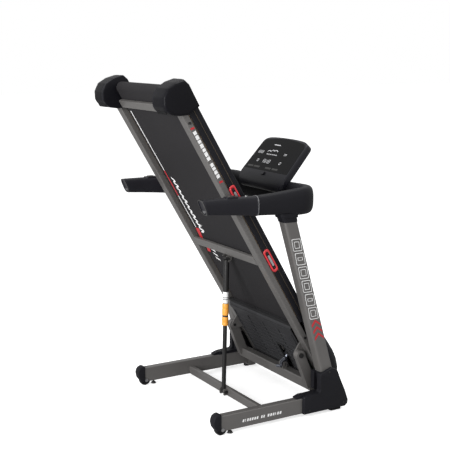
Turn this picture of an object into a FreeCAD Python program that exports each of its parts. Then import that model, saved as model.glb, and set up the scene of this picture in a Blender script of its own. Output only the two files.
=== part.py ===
import FreeCAD, Part
import math
import os

# Folding treadmill, stored with its running deck swung up between the uprights.
# Millimetres, +Z up, +Y is the way the runner faces, +X is the runner's right hand.
# Parts are drawn with the rear ends of the floor rails at y = 0. The export moves them back by
# ORIGIN_Y, so that the origin is the middle of the bounding box's bottom face.
# Deck parts are drawn lying flat, as (s, t): s runs rearwards from the deck's datum and t runs up
# from the underside of its side tubes. on_deck() swings them up into the stored position.

V = FreeCAD.Vector
X_AXIS = V(1, 0, 0)
Y_AXIS = V(0, 1, 0)
Z_AXIS = V(0, 0, 1)

ORIGIN_Y = 250.6

# Floor frame
RAIL_OUT_X = 415.0
RAIL_WIDTH = 38.0
RAIL_IN_X = RAIL_OUT_X - RAIL_WIDTH
RAIL_LOW_Z = 20.0
RAIL_TOP_Z = 96.0
RAIL_LENGTH = 705.0
RAIL_MID_X = RAIL_OUT_X - RAIL_WIDTH / 2
CROSSBAR_Y = 269.0
CROSSBAR_DEPTH = 25.0
CROSSBAR_HEIGHT = 41.0
TUBE_WALL = 2.5

# Transport wheels and levelling feet
WHEEL_R = 30.0
WHEEL_WIDTH = 22.0
WHEEL_Y = 9.0
AXLE_R = 5.0
FOOT_Y = 60.0
FOOT_R = 14.0

# Uprights
UPRIGHT_LEAN = 16.3
UPRIGHT_WIDTH = 58.0
UPRIGHT_DEPTH = 70.0
UPRIGHT_X = RAIL_OUT_X - UPRIGHT_WIDTH / 2
UPRIGHT_MID_Y = 494.0
UPRIGHT_MID_Z = 560.0
UPRIGHT_TOP_Z = 1034.0

# Handlebar
BAR_X = 400.0
BAR_Z = 1055.0
BAR_REAR_Y = -80.0
BAR_SEAM_Y = 190.0
BAR_FRONT_Y = 520.0
BAR_BEND_R = 100.0
BAR_TUBE_R = 16.0
GRIP_WIDTH = 60.0
KEY_Y = 60.0

# Console: a slab that leans back from its lower edge
CONSOLE_LOW_Y = 464.0
CONSOLE_LOW_Z = 1111.0
CONSOLE_TILT = 48.2
CONSOLE_DEPTH = 36.0
CONSOLE_LOW_HALF = 206.0
CONSOLE_TOP_HALF = 194.0
CONSOLE_SIDE = 222.0
CONSOLE_CROWN = 258.0
CONSOLE_WALL = 4.5
BEND_RADIUS = 110.0
APRON_BACK_Y = 489.4
APRON_LOW_Z = 1052.0

# Deck
DECK_Y = 576.0
DECK_Z = 233.0
DECK_ANGLE = 59.5
DECK_HALF = 341.5
TUBE_WIDTH = 52.0
TUBE_HEIGHT = 30.0
DECK_FRONT_S = -188.0
DECK_REAR_S = 1470.0
FOOTRAIL_OUT_X = 347.0
FOOTRAIL_TOP = 88.0
BELT_HALF = 260.0
BELT_THICK = 2.0
ROLLER_R = 25.0
ROLLER_T = 45.0
FRONT_ROLLER_S = 190.0
REAR_ROLLER_S = 1518.0
ROLLER_SHAFT_R = 8.5
BOARD_T = 52.0
BOARD_THICK = 18.0
CUSHION_S = (603.0, 965.0)
CUSHION_LENGTH = 128.0
MID_BEAM_S = 593.0
MID_BEAM_LENGTH = 48.0
MID_BEAM_HEIGHT = 15.0

# Fold hinge and incline hinge
FOLD_Y = 640.0
FOLD_Z = 80.0
FOLD_SWING = 60.7
FOLD_PIN_R = 8.0
BUSH_R = 11.0
INCLINE_Y = 500.0
INCLINE_Z = 280.0
ARM_OUT_X = 331.0
ARM_WIDTH = 30.0
ARM_DEPTH = 48.0
FRAME_BAR_Y = 578.0
FRAME_BAR_Z = 114.0
FRAME_BAR_SIZE = 48.0
RUNNING_GAP = 0.05

# Gas spring between the floor crossbar and the deck
SPRING_LOW_Y = 259.0
SPRING_LOW_Z = 42.0
SPRING_TOP_S = 578.0
SPRING_TOP_T = -8.0
SPRING_ROD_R = 11.0
SPRING_BODY_R = 14.0
SPRING_BODY_LENGTH = 334.0

# Incline actuator, between the deck and the incline frame
ACTUATOR_X = 78.0
ACTUATOR_TOP_S = 19.0
ACTUATOR_TOP_T = 108.0
ACTUATOR_LOW_Y = 566.0
ACTUATOR_LOW_Z = 158.0

# Drive
MOTOR_S = 62.0
MOTOR_T = 62.0
PULLEY_X = -270.0
MOTOR_PULLEY_R = 17.0
ROLLER_PULLEY_R = 42.0


# ---- shape helpers ---------------------------------------------------------------------------

def box(x0, x1, y0, y1, z0, z1):
    return Part.makeBox(x1 - x0, y1 - y0, z1 - z0, V(x0, y0, z0))


def cylinder_x(y, z, radius, x0, x1):
    return Part.makeCylinder(radius, x1 - x0, V(x0, y, z), X_AXIS)


def rod(start, end, radius):
    along = end - start
    return Part.makeCylinder(radius, along.Length, start, along)


def fuse(first, *others):
    return first.multiFuse(list(others)).removeSplitter()


def prism_x(points, x0, x1):
    """A (y, z) outline pulled along X."""
    corners = [V(x0, y, z) for y, z in points]
    outline = Part.makePolygon(corners + [corners[0]])
    return Part.Face(outline).extrude(V(x1 - x0, 0, 0))


def deck_prism(points, x0, x1):
    """An (s, t) outline pulled along X, still flat."""
    return prism_x([(-s, t) for s, t in points], x0, x1)


def deck_box(x0, x1, s0, s1, t0, t1):
    return box(x0, x1, -s1, -s0, t0, t1)


def deck_cylinder(s, t, radius, x0, x1):
    return cylinder_x(-s, t, radius, x0, x1)


def round_edges_along(shape, direction, radius):
    """Fillet the straight edges of a shape that lie along a direction."""
    chosen = []
    for edge in shape.Edges:
        if not isinstance(edge.Curve, Part.Line):
            continue
        if abs(edge.Curve.Direction.dot(direction)) > 0.999:
            chosen.append(edge)
    return shape.makeFillet(radius, chosen)


def mirrored(shape):
    """The same part for the runner's left side."""
    return shape.mirror(V(0, 0, 0), X_AXIS)


def both_sides(shape):
    return Part.makeCompound([shape, mirrored(shape)])


def on_deck(shape):
    placed = shape.copy()
    placed.Placement = FreeCAD.Placement(
        V(0, DECK_Y, DECK_Z), FreeCAD.Rotation(X_AXIS, -DECK_ANGLE)).multiply(placed.Placement)
    return placed


def deck_point(x, s, t):
    angle = math.radians(DECK_ANGLE)
    y = DECK_Y - s * math.cos(angle) + t * math.sin(angle)
    z = DECK_Z + s * math.sin(angle) + t * math.cos(angle)
    return V(x, y, z)


def to_deck(y, z):
    """The (s, t) of a point given in the stored position."""
    angle = math.radians(DECK_ANGLE)
    dy = y - DECK_Y
    dz = z - DECK_Z
    return -dy * math.cos(angle) + dz * math.sin(angle), dy * math.sin(angle) + dz * math.cos(angle)


def square_tube(x0, x1, y0, y1, z0, z1, along, radius=4.0):
    """A rectangular steel tube with round corners, open at both ends."""
    outer = round_edges_along(box(x0, x1, y0, y1, z0, z1), along, radius)
    grow_x = 1.0 if along == X_AXIS else -TUBE_WALL
    grow_y = 1.0 if along == Y_AXIS else -TUBE_WALL
    grow_z = 1.0 if along == Z_AXIS else -TUBE_WALL
    inner = box(x0 - grow_x, x1 + grow_x, y0 - grow_y, y1 + grow_y, z0 - grow_z, z1 + grow_z)
    inner = round_edges_along(inner, along, max(radius - TUBE_WALL, 0.5))
    return outer.cut(inner)


nodes = {}


def add(name, shape):
    """Keep a finished part under its node name."""
    nodes[name] = shape


# ---- floor frame -----------------------------------------------------------------------------

def upright_centre(z):
    """y of an upright's centre line at height z."""
    return UPRIGHT_MID_Y - (z - UPRIGHT_MID_Z) * math.tan(math.radians(UPRIGHT_LEAN))


def upright_solid(low_z, top_z, grow=0.0, radius=12.0):
    """The leaning upright as a solid bar between two heights, grown all round."""
    half_y = (UPRIGHT_DEPTH / 2 + grow) / math.cos(math.radians(UPRIGHT_LEAN))
    low_y = upright_centre(low_z)
    top_y = upright_centre(top_z)
    corners = [(low_y - half_y, low_z), (low_y + half_y, low_z),
               (top_y + half_y, top_z), (top_y - half_y, top_z)]
    bar = prism_x(corners, UPRIGHT_X - UPRIGHT_WIDTH / 2 - grow, UPRIGHT_X + UPRIGHT_WIDTH / 2 + grow)
    lean = math.radians(UPRIGHT_LEAN)
    return round_edges_along(bar, V(0, -math.sin(lean), math.cos(lean)), radius)


def floor_rail():
    rail = square_tube(RAIL_IN_X, RAIL_OUT_X, 0, RAIL_LENGTH, RAIL_LOW_Z, RAIL_TOP_Z, Y_AXIS)
    wheel_slot = box(RAIL_MID_X - 13, RAIL_MID_X + 13, -1, WHEEL_Y + WHEEL_R + 4,
                     RAIL_LOW_Z - 1, RAIL_LOW_Z + 6)
    axle_hole = cylinder_x(WHEEL_Y, WHEEL_R, AXLE_R, RAIL_IN_X - 1, RAIL_OUT_X + 1)
    foot_hole = Part.makeCylinder(5.1, 8, V(RAIL_MID_X, FOOT_Y, RAIL_LOW_Z - 1), Z_AXIS)
    return rail.cut(wheel_slot).cut(axle_hole).cut(foot_hole)


def upright():
    lower = upright_solid(RAIL_TOP_Z, UPRIGHT_TOP_Z)
    hollow = upright_solid(RAIL_TOP_Z - 5, UPRIGHT_TOP_Z + 5, -TUBE_WALL, 12.0 - TUBE_WALL)
    return lower.cut(hollow)


def floor_crossbars():
    """The rear crossbar with the gas spring's two-ear bracket, and the front crossbar."""
    rear = square_tube(-RAIL_IN_X, RAIL_IN_X, CROSSBAR_Y, CROSSBAR_Y + CROSSBAR_DEPTH,
                       RAIL_LOW_Z, RAIL_LOW_Z + CROSSBAR_HEIGHT, X_AXIS)
    ear = round_edges_along(box(17, 21, SPRING_LOW_Y - 13, CROSSBAR_Y, 24, 58), X_AXIS, 8)
    ear = fuse(ear, box(17, 21, SPRING_LOW_Y, CROSSBAR_Y, 24, 58))
    ear = ear.cut(cylinder_x(SPRING_LOW_Y, SPRING_LOW_Z, 5.0, 0, 40))
    rear = fuse(rear, ear, mirrored(ear))
    front = square_tube(-RAIL_IN_X, RAIL_IN_X, RAIL_LENGTH - 25, RAIL_LENGTH,
                        RAIL_LOW_Z, RAIL_LOW_Z + 38, X_AXIS)
    return Part.makeCompound([rear, front])


def hinge_bracket():
    """A welded plate inside the rail with the fixed fold pin through it."""
    reach = 21.0
    plate = fuse(box(334, 340, FOLD_Y - reach, FOLD_Y + reach, RAIL_LOW_Z, FOLD_Z),
                 cylinder_x(FOLD_Y, FOLD_Z, reach, 334, 340))
    floor = box(334, RAIL_IN_X, FOLD_Y - reach, FOLD_Y + reach, RAIL_LOW_Z, RAIL_LOW_Z + 6)
    bracket = fuse(plate, floor)
    pin = cylinder_x(FOLD_Y, FOLD_Z, FOLD_PIN_R, 298, RAIL_IN_X)
    head = cylinder_x(FOLD_Y, FOLD_Z, 12, 296, 300)
    return fuse(bracket, pin, head)


def hinge_bush():
    """Flanged bush that turns on the fold pin; the incline frame's leg turns on the bush."""
    sleeve = cylinder_x(FOLD_Y, FOLD_Z, BUSH_R, ARM_OUT_X - ARM_WIDTH, 333.5)
    flange = cylinder_x(FOLD_Y, FOLD_Z, 16, ARM_OUT_X + 0.3, 333.5)
    return fuse(sleeve, flange).cut(cylinder_x(FOLD_Y, FOLD_Z, FOLD_PIN_R + RUNNING_GAP, 200, 400))


def upright_cover_outline(inset):
    """The boot's side outline, (y, z), drawn in by an inset."""
    i = inset
    return [(452 + i, 17 + i), (452 + i, 109 - i), (548 + i, 114 - i), (548 + i, 206 - i),
            (618 + i, 229 - i), (648 - i, 212 - i), (672 - i, 156), (698 - i, 100),
            (717 - i, 48), (716 - i, 34), (700 - i, 18 + i)]


COVER_SCREWS = ((486, 34), (688, 40), (600, 208))
SCREW_R = 5.0


def upright_cover():
    """The moulded boot over the joint of rail and upright, open underneath and inside."""
    low_x = 374.0
    high_x = 347.0
    out_x = 430.0
    wall = 3.0
    whole = prism_x(upright_cover_outline(0), high_x, out_x)
    whole = round_edges_along(whole, X_AXIS, 5)
    outer_edges = []
    for edge in whole.Edges:
        if edge.BoundBox.XMin > out_x - 0.01:
            outer_edges.append(edge)
    whole = whole.makeFillet(4, outer_edges)
    step = box(high_x - 1, low_x, 440, 740, 0, 112)
    hollow = prism_x(upright_cover_outline(wall), low_x - 30, out_x - wall)
    hollow_upper = prism_x(upright_cover_outline(wall), high_x + wall, out_x - wall)
    keep_upper = box(high_x, out_x, 440, 740, 112 + wall, 260)
    shell = whole.cut(step).cut(hollow.common(box(0, 500, 440, 740, 0, 112)))
    shell = shell.cut(hollow_upper.common(keep_upper))
    shell = shell.cut(upright_solid(90, 300, 0.6))
    shell = shell.cut(box(low_x + wall, out_x - wall, 440, RAIL_LENGTH + 0.3, 0, RAIL_TOP_Z + 4))
    shell = shell.cut(box(low_x - 1, RAIL_IN_X, 440, 740, 0, RAIL_TOP_Z))
    for y, z in COVER_SCREWS:
        shell = shell.cut(cylinder_x(y, z, SCREW_R, out_x - wall - 1, out_x + 1))
    shell = shell.cut(rod(V(RAIL_MID_X, 470, 90), V(RAIL_MID_X, 470, 120), SCREW_R))
    shell = shell.cut(box(low_x - 1, out_x - wall, 440, 500, 0, RAIL_TOP_Z + 1))
    shell = shell.cut(box(low_x - 1, out_x - wall, 440, 712, 0, 20))
    return largest_solid(shell)


def largest_solid(shape):
    return max(shape.Solids, key=lambda solid: solid.Volume)


def rail_end_cap():
    """The bulging plug at a rail's rear end, with a pocket for the wheel."""
    outline = [(2, 21), (-14, 21), (-33, 48), (-37, 76), (-26, 100), (-6, 107), (2, 100)]
    cap = prism_x(outline, RAIL_IN_X - 3, RAIL_OUT_X + 3)
    cap = round_edges_along(cap, X_AXIS, 5)
    side_edges = [e for e in cap.Edges if abs(abs(e.CenterOfMass.x - RAIL_MID_X) - 22) < 0.01]
    cap = cap.makeFillet(4, side_edges)
    plug = box(RAIL_IN_X + 2.7, RAIL_OUT_X - 2.7, 0, 18, 66, RAIL_TOP_Z - 2.7)
    cap = fuse(cap.cut(box(300, 500, 0, 10, 0, 200)), plug)
    pocket = cylinder_x(WHEEL_Y, WHEEL_R, WHEEL_R + 4, RAIL_MID_X - 13.5, RAIL_MID_X + 13.5)
    pocket_low = box(RAIL_MID_X - 13.5, RAIL_MID_X + 13.5, -60, 20, 0, WHEEL_R - 4)
    return largest_solid(cap.cut(pocket).cut(pocket_low))


def rear_wheel():
    """Hard wheel with a recessed web and a bore for its axle."""
    x0 = RAIL_MID_X - WHEEL_WIDTH / 2
    x1 = RAIL_MID_X + WHEEL_WIDTH / 2
    wheel = cylinder_x(WHEEL_Y, WHEEL_R, WHEEL_R, x0, x1)
    rims = [e for e in wheel.Edges if isinstance(e.Curve, Part.Circle)]
    wheel = wheel.makeFillet(3, rims)
    groove = cylinder_x(WHEEL_Y, WHEEL_R, 22, 0, 5).cut(cylinder_x(WHEEL_Y, WHEEL_R, 11, -1, 6))
    near = groove.copy()
    near.translate(V(x1 - 4, 0, 0))
    far = groove.copy()
    far.translate(V(x0 - 1, 0, 0))
    bore = cylinder_x(WHEEL_Y, WHEEL_R, AXLE_R + RUNNING_GAP, x0 - 1, x1 + 1)
    return wheel.cut(near).cut(far).cut(bore)


def wheel_axle():
    """Shoulder bolt across the rail, with its head outside and its nut inside."""
    shank = cylinder_x(WHEEL_Y, WHEEL_R, AXLE_R, RAIL_IN_X - 8, RAIL_OUT_X + 1)
    head = cylinder_x(WHEEL_Y, WHEEL_R, 8.5, RAIL_OUT_X, RAIL_OUT_X + 5)
    nut = hexagon_x(WHEEL_Y, WHEEL_R, 8, RAIL_IN_X - 7, RAIL_IN_X)
    return fuse(shank, head, nut)


def hexagon_x(y, z, across_half, x0, x1):
    radius = across_half / math.cos(math.radians(30))
    corners = []
    for index in range(6):
        angle = math.radians(60 * index)
        corners.append((y + radius * math.cos(angle), z + radius * math.sin(angle)))
    return prism_x(corners, x0, x1)


def levelling_foot():
    """Screw foot: a round rubber-soled pad on a threaded stud with a lock nut."""
    pad = Part.makeCone(FOOT_R, FOOT_R - 4, 9, V(RAIL_MID_X, FOOT_Y, 0), Z_AXIS)
    stud = Part.makeCylinder(5, 42, V(RAIL_MID_X, FOOT_Y, 8), Z_AXIS)
    return fuse(pad, stud)


def front_foot():
    """Rubber pad under the front end of a rail."""
    pad = box(382, 410, 626, 690, 0, RAIL_LOW_Z)
    return round_edges_along(pad, Z_AXIS, 9)


def base_fasteners():
    """The screws that hold an upright's cover."""
    solids = []
    for y, z in COVER_SCREWS:
        solids.append(cylinder_x(y, z, SCREW_R, 427.2, 431.6))
    solids.append(rod(V(RAIL_MID_X, 470, RAIL_TOP_Z + 0.2), V(RAIL_MID_X, 470, 112), SCREW_R))
    return solids


# ---- handlebar and console -------------------------------------------------------------------

def rounded_section(x, y, z, width, height, radius):
    """A rounded rectangle wire in the plane y = constant."""
    half_w = width / 2 - radius
    half_h = height / 2 - radius
    edges = []
    centres = [(half_w, half_h, 0), (-half_w, half_h, 90), (-half_w, -half_h, 180), (half_w, -half_h, 270)]
    points = []
    for cx, cz, start in centres:
        begin = math.radians(start)
        end = math.radians(start + 90)
        middle = math.radians(start + 45)
        points.append((V(x + cx + radius * math.cos(begin), y, z + cz + radius * math.sin(begin)),
                       V(x + cx + radius * math.cos(middle), y, z + cz + radius * math.sin(middle)),
                       V(x + cx + radius * math.cos(end), y, z + cz + radius * math.sin(end))))
    for index, (begin, middle, end) in enumerate(points):
        edges.append(Part.Arc(begin, middle, end).toShape())
        following = points[(index + 1) % 4][0]
        if (following - end).Length > 1e-6:
            edges.append(Part.LineSegment(end, following).toShape())
    return Part.Wire(edges)


def arm_length_loft(y0, z0, h0, y1, z1, h1, shrink, radius=22.0):
    first = rounded_section(BAR_X, y0, z0, GRIP_WIDTH - 2 * shrink, h0 - 2 * shrink, radius - shrink)
    second = rounded_section(BAR_X, y1, z1, GRIP_WIDTH - 2 * shrink, h1 - 2 * shrink, radius - shrink)
    return Part.makeLoft([first, second], True, True)


BEND_Y = BAR_FRONT_Y - BAR_BEND_R
SHELL_HEIGHT = 124.0
SHELL_Z = 1052.0


def bar_bend(shrink, height, width, z, radius):
    """The quarter turn from an arm to the front bar."""
    wire = rounded_section(BAR_X, BEND_Y, z, width - 2 * shrink, height - 2 * shrink, radius)
    face = Part.Face(wire)
    return face.revolve(V(BAR_X - BAR_BEND_R, BEND_Y, 0), Z_AXIS, 90)


def bar_front(shrink, height, width, z, radius):
    wire = rounded_section(0, 0, z, width - 2 * shrink, height - 2 * shrink, radius)
    half = BAR_X - BAR_BEND_R
    bar = Part.Face(wire).extrude(V(0, 2 * half, 0))
    bar.rotate(V(0, 0, 0), Z_AXIS, 90)
    bar.translate(V(half, BAR_FRONT_Y, 0))
    return bar


def handlebar_shell_solid(shrink):
    radius = 22.0 - shrink
    arm = arm_length_loft(BAR_SEAM_Y, 1052, 92, BEND_Y, SHELL_Z, SHELL_HEIGHT, shrink)
    bend = bar_bend(shrink, SHELL_HEIGHT, GRIP_WIDTH, SHELL_Z, radius)
    front = bar_front(shrink, SHELL_HEIGHT, GRIP_WIDTH, SHELL_Z, radius)
    half = fuse(arm, bend)
    return fuse(half, mirrored(half), front)


def handlebar_tube():
    """The bent steel tube inside the handlebar, with a saddle plate for each upright."""
    rear_y = BAR_REAR_Y + 6
    half = BAR_X - BAR_BEND_R
    turn = BAR_BEND_R * math.sqrt(0.5)
    path = Part.Wire([
        Part.LineSegment(V(BAR_X, rear_y, BAR_Z), V(BAR_X, BEND_Y, BAR_Z)).toShape(),
        Part.Arc(V(BAR_X, BEND_Y, BAR_Z), V(half + turn, BEND_Y + turn, BAR_Z),
                 V(half, BAR_FRONT_Y, BAR_Z)).toShape(),
        Part.LineSegment(V(half, BAR_FRONT_Y, BAR_Z), V(-half, BAR_FRONT_Y, BAR_Z)).toShape(),
        Part.Arc(V(-half, BAR_FRONT_Y, BAR_Z), V(-half - turn, BEND_Y + turn, BAR_Z),
                 V(-BAR_X, BEND_Y, BAR_Z)).toShape(),
        Part.LineSegment(V(-BAR_X, BEND_Y, BAR_Z), V(-BAR_X, rear_y, BAR_Z)).toShape(),
    ])
    ring = Part.Wire(Part.makeCircle(BAR_TUBE_R, V(BAR_X, rear_y, BAR_Z), Y_AXIS))
    tube = path.makePipeShell([ring], True, True)
    saddle = box(UPRIGHT_X - 10, UPRIGHT_X + 22, 330, 400, UPRIGHT_TOP_Z + 0.3, BAR_Z - 4)
    return tube.multiFuse([saddle, mirrored(saddle)])


def handlebar_shell():
    shell = handlebar_shell_solid(0).cut(handlebar_shell_solid(3.5))
    shell = shell.cut(cut_for_uprights())
    neck_hole = box(-52, 52, BAR_FRONT_Y - 22, BAR_FRONT_Y + 42, SHELL_Z + 34, SHELL_Z + 80)
    return largest_solid(shell.cut(neck_hole))


def cut_for_uprights():
    hole = upright_solid(960, 1040, 0.4)
    return Part.makeCompound([hole, mirrored(hole)])


def handlebar_grip():
    """The soft sleeve on one arm."""
    sleeve = arm_length_loft(BAR_REAR_Y + 14, 1065, 70, BAR_SEAM_Y - 1, 1052, 88, 0)
    bore = Part.makeCylinder(BAR_TUBE_R, 400, V(BAR_X, BAR_REAR_Y, BAR_Z), Y_AXIS)
    pocket = box(BAR_X - 19.2, BAR_X + 19.2, KEY_Y - 30.2, KEY_Y + 30.2, 1090.8, 1120)
    return sleeve.cut(bore).cut(pocket)


def grip_end_cap():
    """Slanted plug that closes the rear end of one arm."""
    first = rounded_section(BAR_X, BAR_REAR_Y + 13.5, 1065, GRIP_WIDTH, 70, 22)
    second = rounded_section(BAR_X, BAR_REAR_Y - 12, 1069, GRIP_WIDTH - 18, 52, 18)
    cap = Part.makeLoft([first, second], True, True)
    return cap.cut(Part.makeCylinder(BAR_TUBE_R + 0.2, 300, V(BAR_X, BAR_REAR_Y + 4, BAR_Z), Y_AXIS))


def upright_collar():
    """The moulded collar where an upright enters the handlebar."""
    outer = fuse(upright_solid(948, 974, 3.5, 14.0), upright_solid(966, 1000, 7.5, 16.0))
    outer = outer.cut(upright_solid(930, 1010, 0.3))
    return largest_solid(outer.cut(handlebar_shell_solid(-0.2)))


def console_frame():
    """Placement whose XY plane is the console's face: X across, Y up the face, Z out of it."""
    return FreeCAD.Placement(V(0, CONSOLE_LOW_Y, CONSOLE_LOW_Z),
                             FreeCAD.Rotation(X_AXIS, CONSOLE_TILT))


def on_console(shape):
    placed = shape.copy()
    placed.Placement = console_frame().multiply(placed.Placement)
    return placed


def console_outline(inset):
    """The slab's outline in its own plane: tapered sides, a nearly flat crown and soft corners."""
    low = CONSOLE_LOW_HALF - inset
    top = CONSOLE_TOP_HALF - inset
    side = CONSOLE_SIDE - inset
    crown = V(0, CONSOLE_CROWN - inset, 0)
    shoulder = CONSOLE_TOP_HALF - 40.0
    shoulder_v = CONSOLE_CROWN - 12.0 - inset
    right = Part.Arc(V(top, side, 0), V(top - 12.5, side + 15, 0), V(shoulder, shoulder_v, 0))
    left = Part.Arc(V(-shoulder, shoulder_v, 0), V(-top + 12.5, side + 15, 0), V(-top, side, 0))
    edges = [
        Part.LineSegment(V(-low, inset, 0), V(low, inset, 0)).toShape(),
        Part.LineSegment(V(low, inset, 0), V(top, side, 0)).toShape(),
        right.toShape(),
        Part.Arc(V(shoulder, shoulder_v, 0), crown, V(-shoulder, shoulder_v, 0)).toShape(),
        left.toShape(),
        Part.LineSegment(V(-top, side, 0), V(-low, inset, 0)).toShape(),
    ]
    return Part.Wire(edges)


def console_slab(inset, z0, z1):
    slab = Part.Face(console_outline(inset)).extrude(V(0, 0, z1 - z0))
    slab.translate(V(0, 0, z0))
    return slab


def console_profile(inset):
    """The side profile, (y, z): the apron, its bend, the tilted face and the back."""
    tilt = math.radians(CONSOLE_TILT)
    reach = BEND_RADIUS * math.tan((math.pi / 2 - tilt) / 2)
    centre_y = CONSOLE_LOW_Y + BEND_RADIUS
    centre_z = CONSOLE_LOW_Z - reach
    radius = BEND_RADIUS - inset

    def on_bend(angle):
        return V(0, centre_y + radius * math.cos(angle), centre_z + radius * math.sin(angle))

    def on_face(up, depth):
        return V(0, CONSOLE_LOW_Y + up * math.cos(tilt) + depth * math.sin(tilt),
                 CONSOLE_LOW_Z + up * math.sin(tilt) - depth * math.cos(tilt))

    back = CONSOLE_DEPTH - inset
    back_y = APRON_BACK_Y - inset
    low_up = (back_y - CONSOLE_LOW_Y - back * math.sin(tilt)) / math.cos(tilt)
    corners = [on_bend(math.pi / 2 + tilt), on_face(270, inset), on_face(270, back),
               on_face(low_up, back), V(0, back_y, APRON_LOW_Z), V(0, CONSOLE_LOW_Y + inset, APRON_LOW_Z),
               on_bend(math.pi)]
    edges = [Part.Arc(corners[-1], on_bend(math.pi * 0.75 + tilt / 2), corners[0]).toShape()]
    for start, end in zip(corners, corners[1:]):
        edges.append(Part.LineSegment(start, end).toShape())
    return Part.Face(Part.Wire(edges))


def console_body(inset):
    """The profile pulled across and trimmed to the outline as seen square to the face."""
    across = console_profile(inset).extrude(V(500, 0, 0))
    across.translate(V(-250, 0, 0))
    apron = [V(x, v, 0) for x, v in ((205 - inset, 1), (198 - inset, -23),
                                     (186 - inset, -33.5 + inset * 0.6),
                                     (164 - inset, -40.3 + inset))]
    apron += [V(-point.x, point.y, 0) for point in reversed(apron)]
    lower = Part.Face(Part.makePolygon(apron + [apron[0]])).extrude(V(0, 0, 100))
    lower.translate(V(0, 0, -70))
    outline = Part.Face(console_outline(inset)).extrude(V(0, 0, 100))
    outline.translate(V(0, 0, -70))
    if inset:
        lower = fuse(lower, box(-202 + inset, 202 - inset, 0, inset + 1, -70, 30))
    trim = fuse(outline, lower)
    trim = on_console(trim)
    return across.common(trim)


BUTTON_PLACES = {"start_button": -149.0, "stop_button": -91.0, "plus_button": 12.0, "minus_button": 72.0}
BUTTON_LENGTH = 50.0
BUTTON_HEIGHT = 10.0
BUTTON_V = 65.0
GLASS_INSET = 9.0
GLASS_LOW_V = 47.0


def button_block(across, grow, z0, z1):
    """A key's outline as a block in the console's own frame."""
    half = BUTTON_LENGTH / 2 + grow
    rise = BUTTON_HEIGHT / 2 + grow
    block = box(across - half, across + half, BUTTON_V - rise, BUTTON_V + rise, z0, z1)
    return round_edges_along(block, Z_AXIS, 3)


def glass_slab(inset, z0, z1):
    """The part of the face above the apron's bend, drawn in by an inset."""
    slab = console_slab(GLASS_INSET + inset, z0, z1)
    return slab.cut(box(-300, 300, -10, GLASS_LOW_V + inset, z0 - 1, z1 + 1))


def console_housing():
    body = console_body(0).cut(console_body(CONSOLE_WALL))
    window = glass_slab(-0.4, -8, 1)
    window = on_console(window)
    socket = fuse(box(-6.4, 6.4, 27.6, 38.4, -10, 5), box(-13.4, 13.4, 23.6, 42.4, -2.4, 5))
    socket = on_console(socket)
    return largest_solid(body.cut(window).cut(socket).cut(handlebar_shell_solid(-0.3)))


def display_glass():
    """The dark glass over most of the face, cut out for the keys."""
    glass = glass_slab(0, -4.9, -0.4)
    for across in BUTTON_PLACES.values():
        glass = glass.cut(button_block(across, 0.4, -10, 5))
    glass = on_console(glass)
    return glass


def console_electronics():
    """Display panel and circuit board behind the glass."""
    panel = box(-160, 160, 84, 218, -12, -5.2)
    board = box(-150, 150, 56, 212, -20, -15)
    posts = [Part.makeCylinder(4, 3, V(x, y, -15), Z_AXIS) for x in (-130, 130) for y in (112, 200)]
    unit = fuse(panel, board, *posts)
    unit = on_console(unit)
    return unit


def console_button(across):
    """Flat key with a stem behind it."""
    button = fuse(button_block(across, 0, -6.5, 0.8),
                  Part.makeCylinder(4, 6, V(across, BUTTON_V, -12), Z_AXIS))
    button = on_console(button)
    return button


def safety_key():
    """The pull-off stop key in its socket near the console's lower edge."""
    tab = round_edges_along(box(-13, 13, 24, 42, -2, 6), Z_AXIS, 5)
    prong = box(-6, 6, 28, 38, -9, 0)
    key = fuse(tab, prong)
    key = on_console(key)
    return key


def console_bracket():
    """Neck between the handlebar's front bar and the back of the console."""
    base_y = BAR_FRONT_Y
    neck = prism_x([(base_y - 18, BAR_Z + 17), (base_y + 18, BAR_Z + 17), (base_y + 56, 1160),
                    (base_y + 30, 1172)], -48, 48)
    neck = round_edges_along(neck, X_AXIS, 4)
    saddle = box(-40, 40, base_y - 17.5, base_y + 17.5, BAR_Z + 8, BAR_Z + 19)
    saddle = saddle.cut(cylinder_x(BAR_FRONT_Y, BAR_Z, BAR_TUBE_R + 0.1, -60, 60))
    clear = console_slab(-2, -CONSOLE_DEPTH - 0.3, 60)
    clear = on_console(clear)
    return largest_solid(fuse(neck, saddle).cut(clear))


def quick_key(side):
    """Rocker key on top of one arm, in its small pod."""
    y = KEY_Y
    key = round_edges_along(box(side * BAR_X - 12, side * BAR_X + 12, y - 16, y + 16, 1099, 1107), Z_AXIS, 5)
    pivot = cylinder_x(y, 1100, 2.0, side * BAR_X - 12, side * BAR_X + 12)
    return fuse(key, pivot)


def quick_key_pod(side):
    """The fixed pod that frames a rocker key."""
    y = KEY_Y
    pod = round_edges_along(box(side * BAR_X - 19, side * BAR_X + 19, y - 30, y + 30, 1091, 1103), Z_AXIS, 8)
    well = box(side * BAR_X - 12.6, side * BAR_X + 12.6, y - 17.5, y + 17.5, 1095, 1110)
    return pod.cut(well)


# ---- deck ------------------------------------------------------------------------------------

def deck_side_rail():
    """Side tube with the welded ear that carries the incline hinge."""
    tube = square_tube(DECK_HALF - TUBE_WIDTH, DECK_HALF, -DECK_REAR_S, -DECK_FRONT_S, 0, TUBE_HEIGHT, Y_AXIS)
    s, t = to_deck(INCLINE_Y, INCLINE_Z)
    ear = deck_prism([(s - 40, 0), (s + 40, 0), (s + 18, t - 6), (s + 8, t - 16), (s - 8, t - 16),
                      (s - 18, t - 6)], 291, 299)
    ear = ear.cut(deck_cylinder(s, t, FOLD_PIN_R, 280, 310))
    return fuse(tube, ear)


def incline_pin():
    """Shoulder pin pressed into the ear, with its head outside the arm."""
    s, t = to_deck(INCLINE_Y, INCLINE_Z)
    shank = deck_cylinder(s, t, FOLD_PIN_R, 290, 332)
    head = deck_cylinder(s, t, 12, 331.6, 337)
    return fuse(shank, head)


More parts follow.
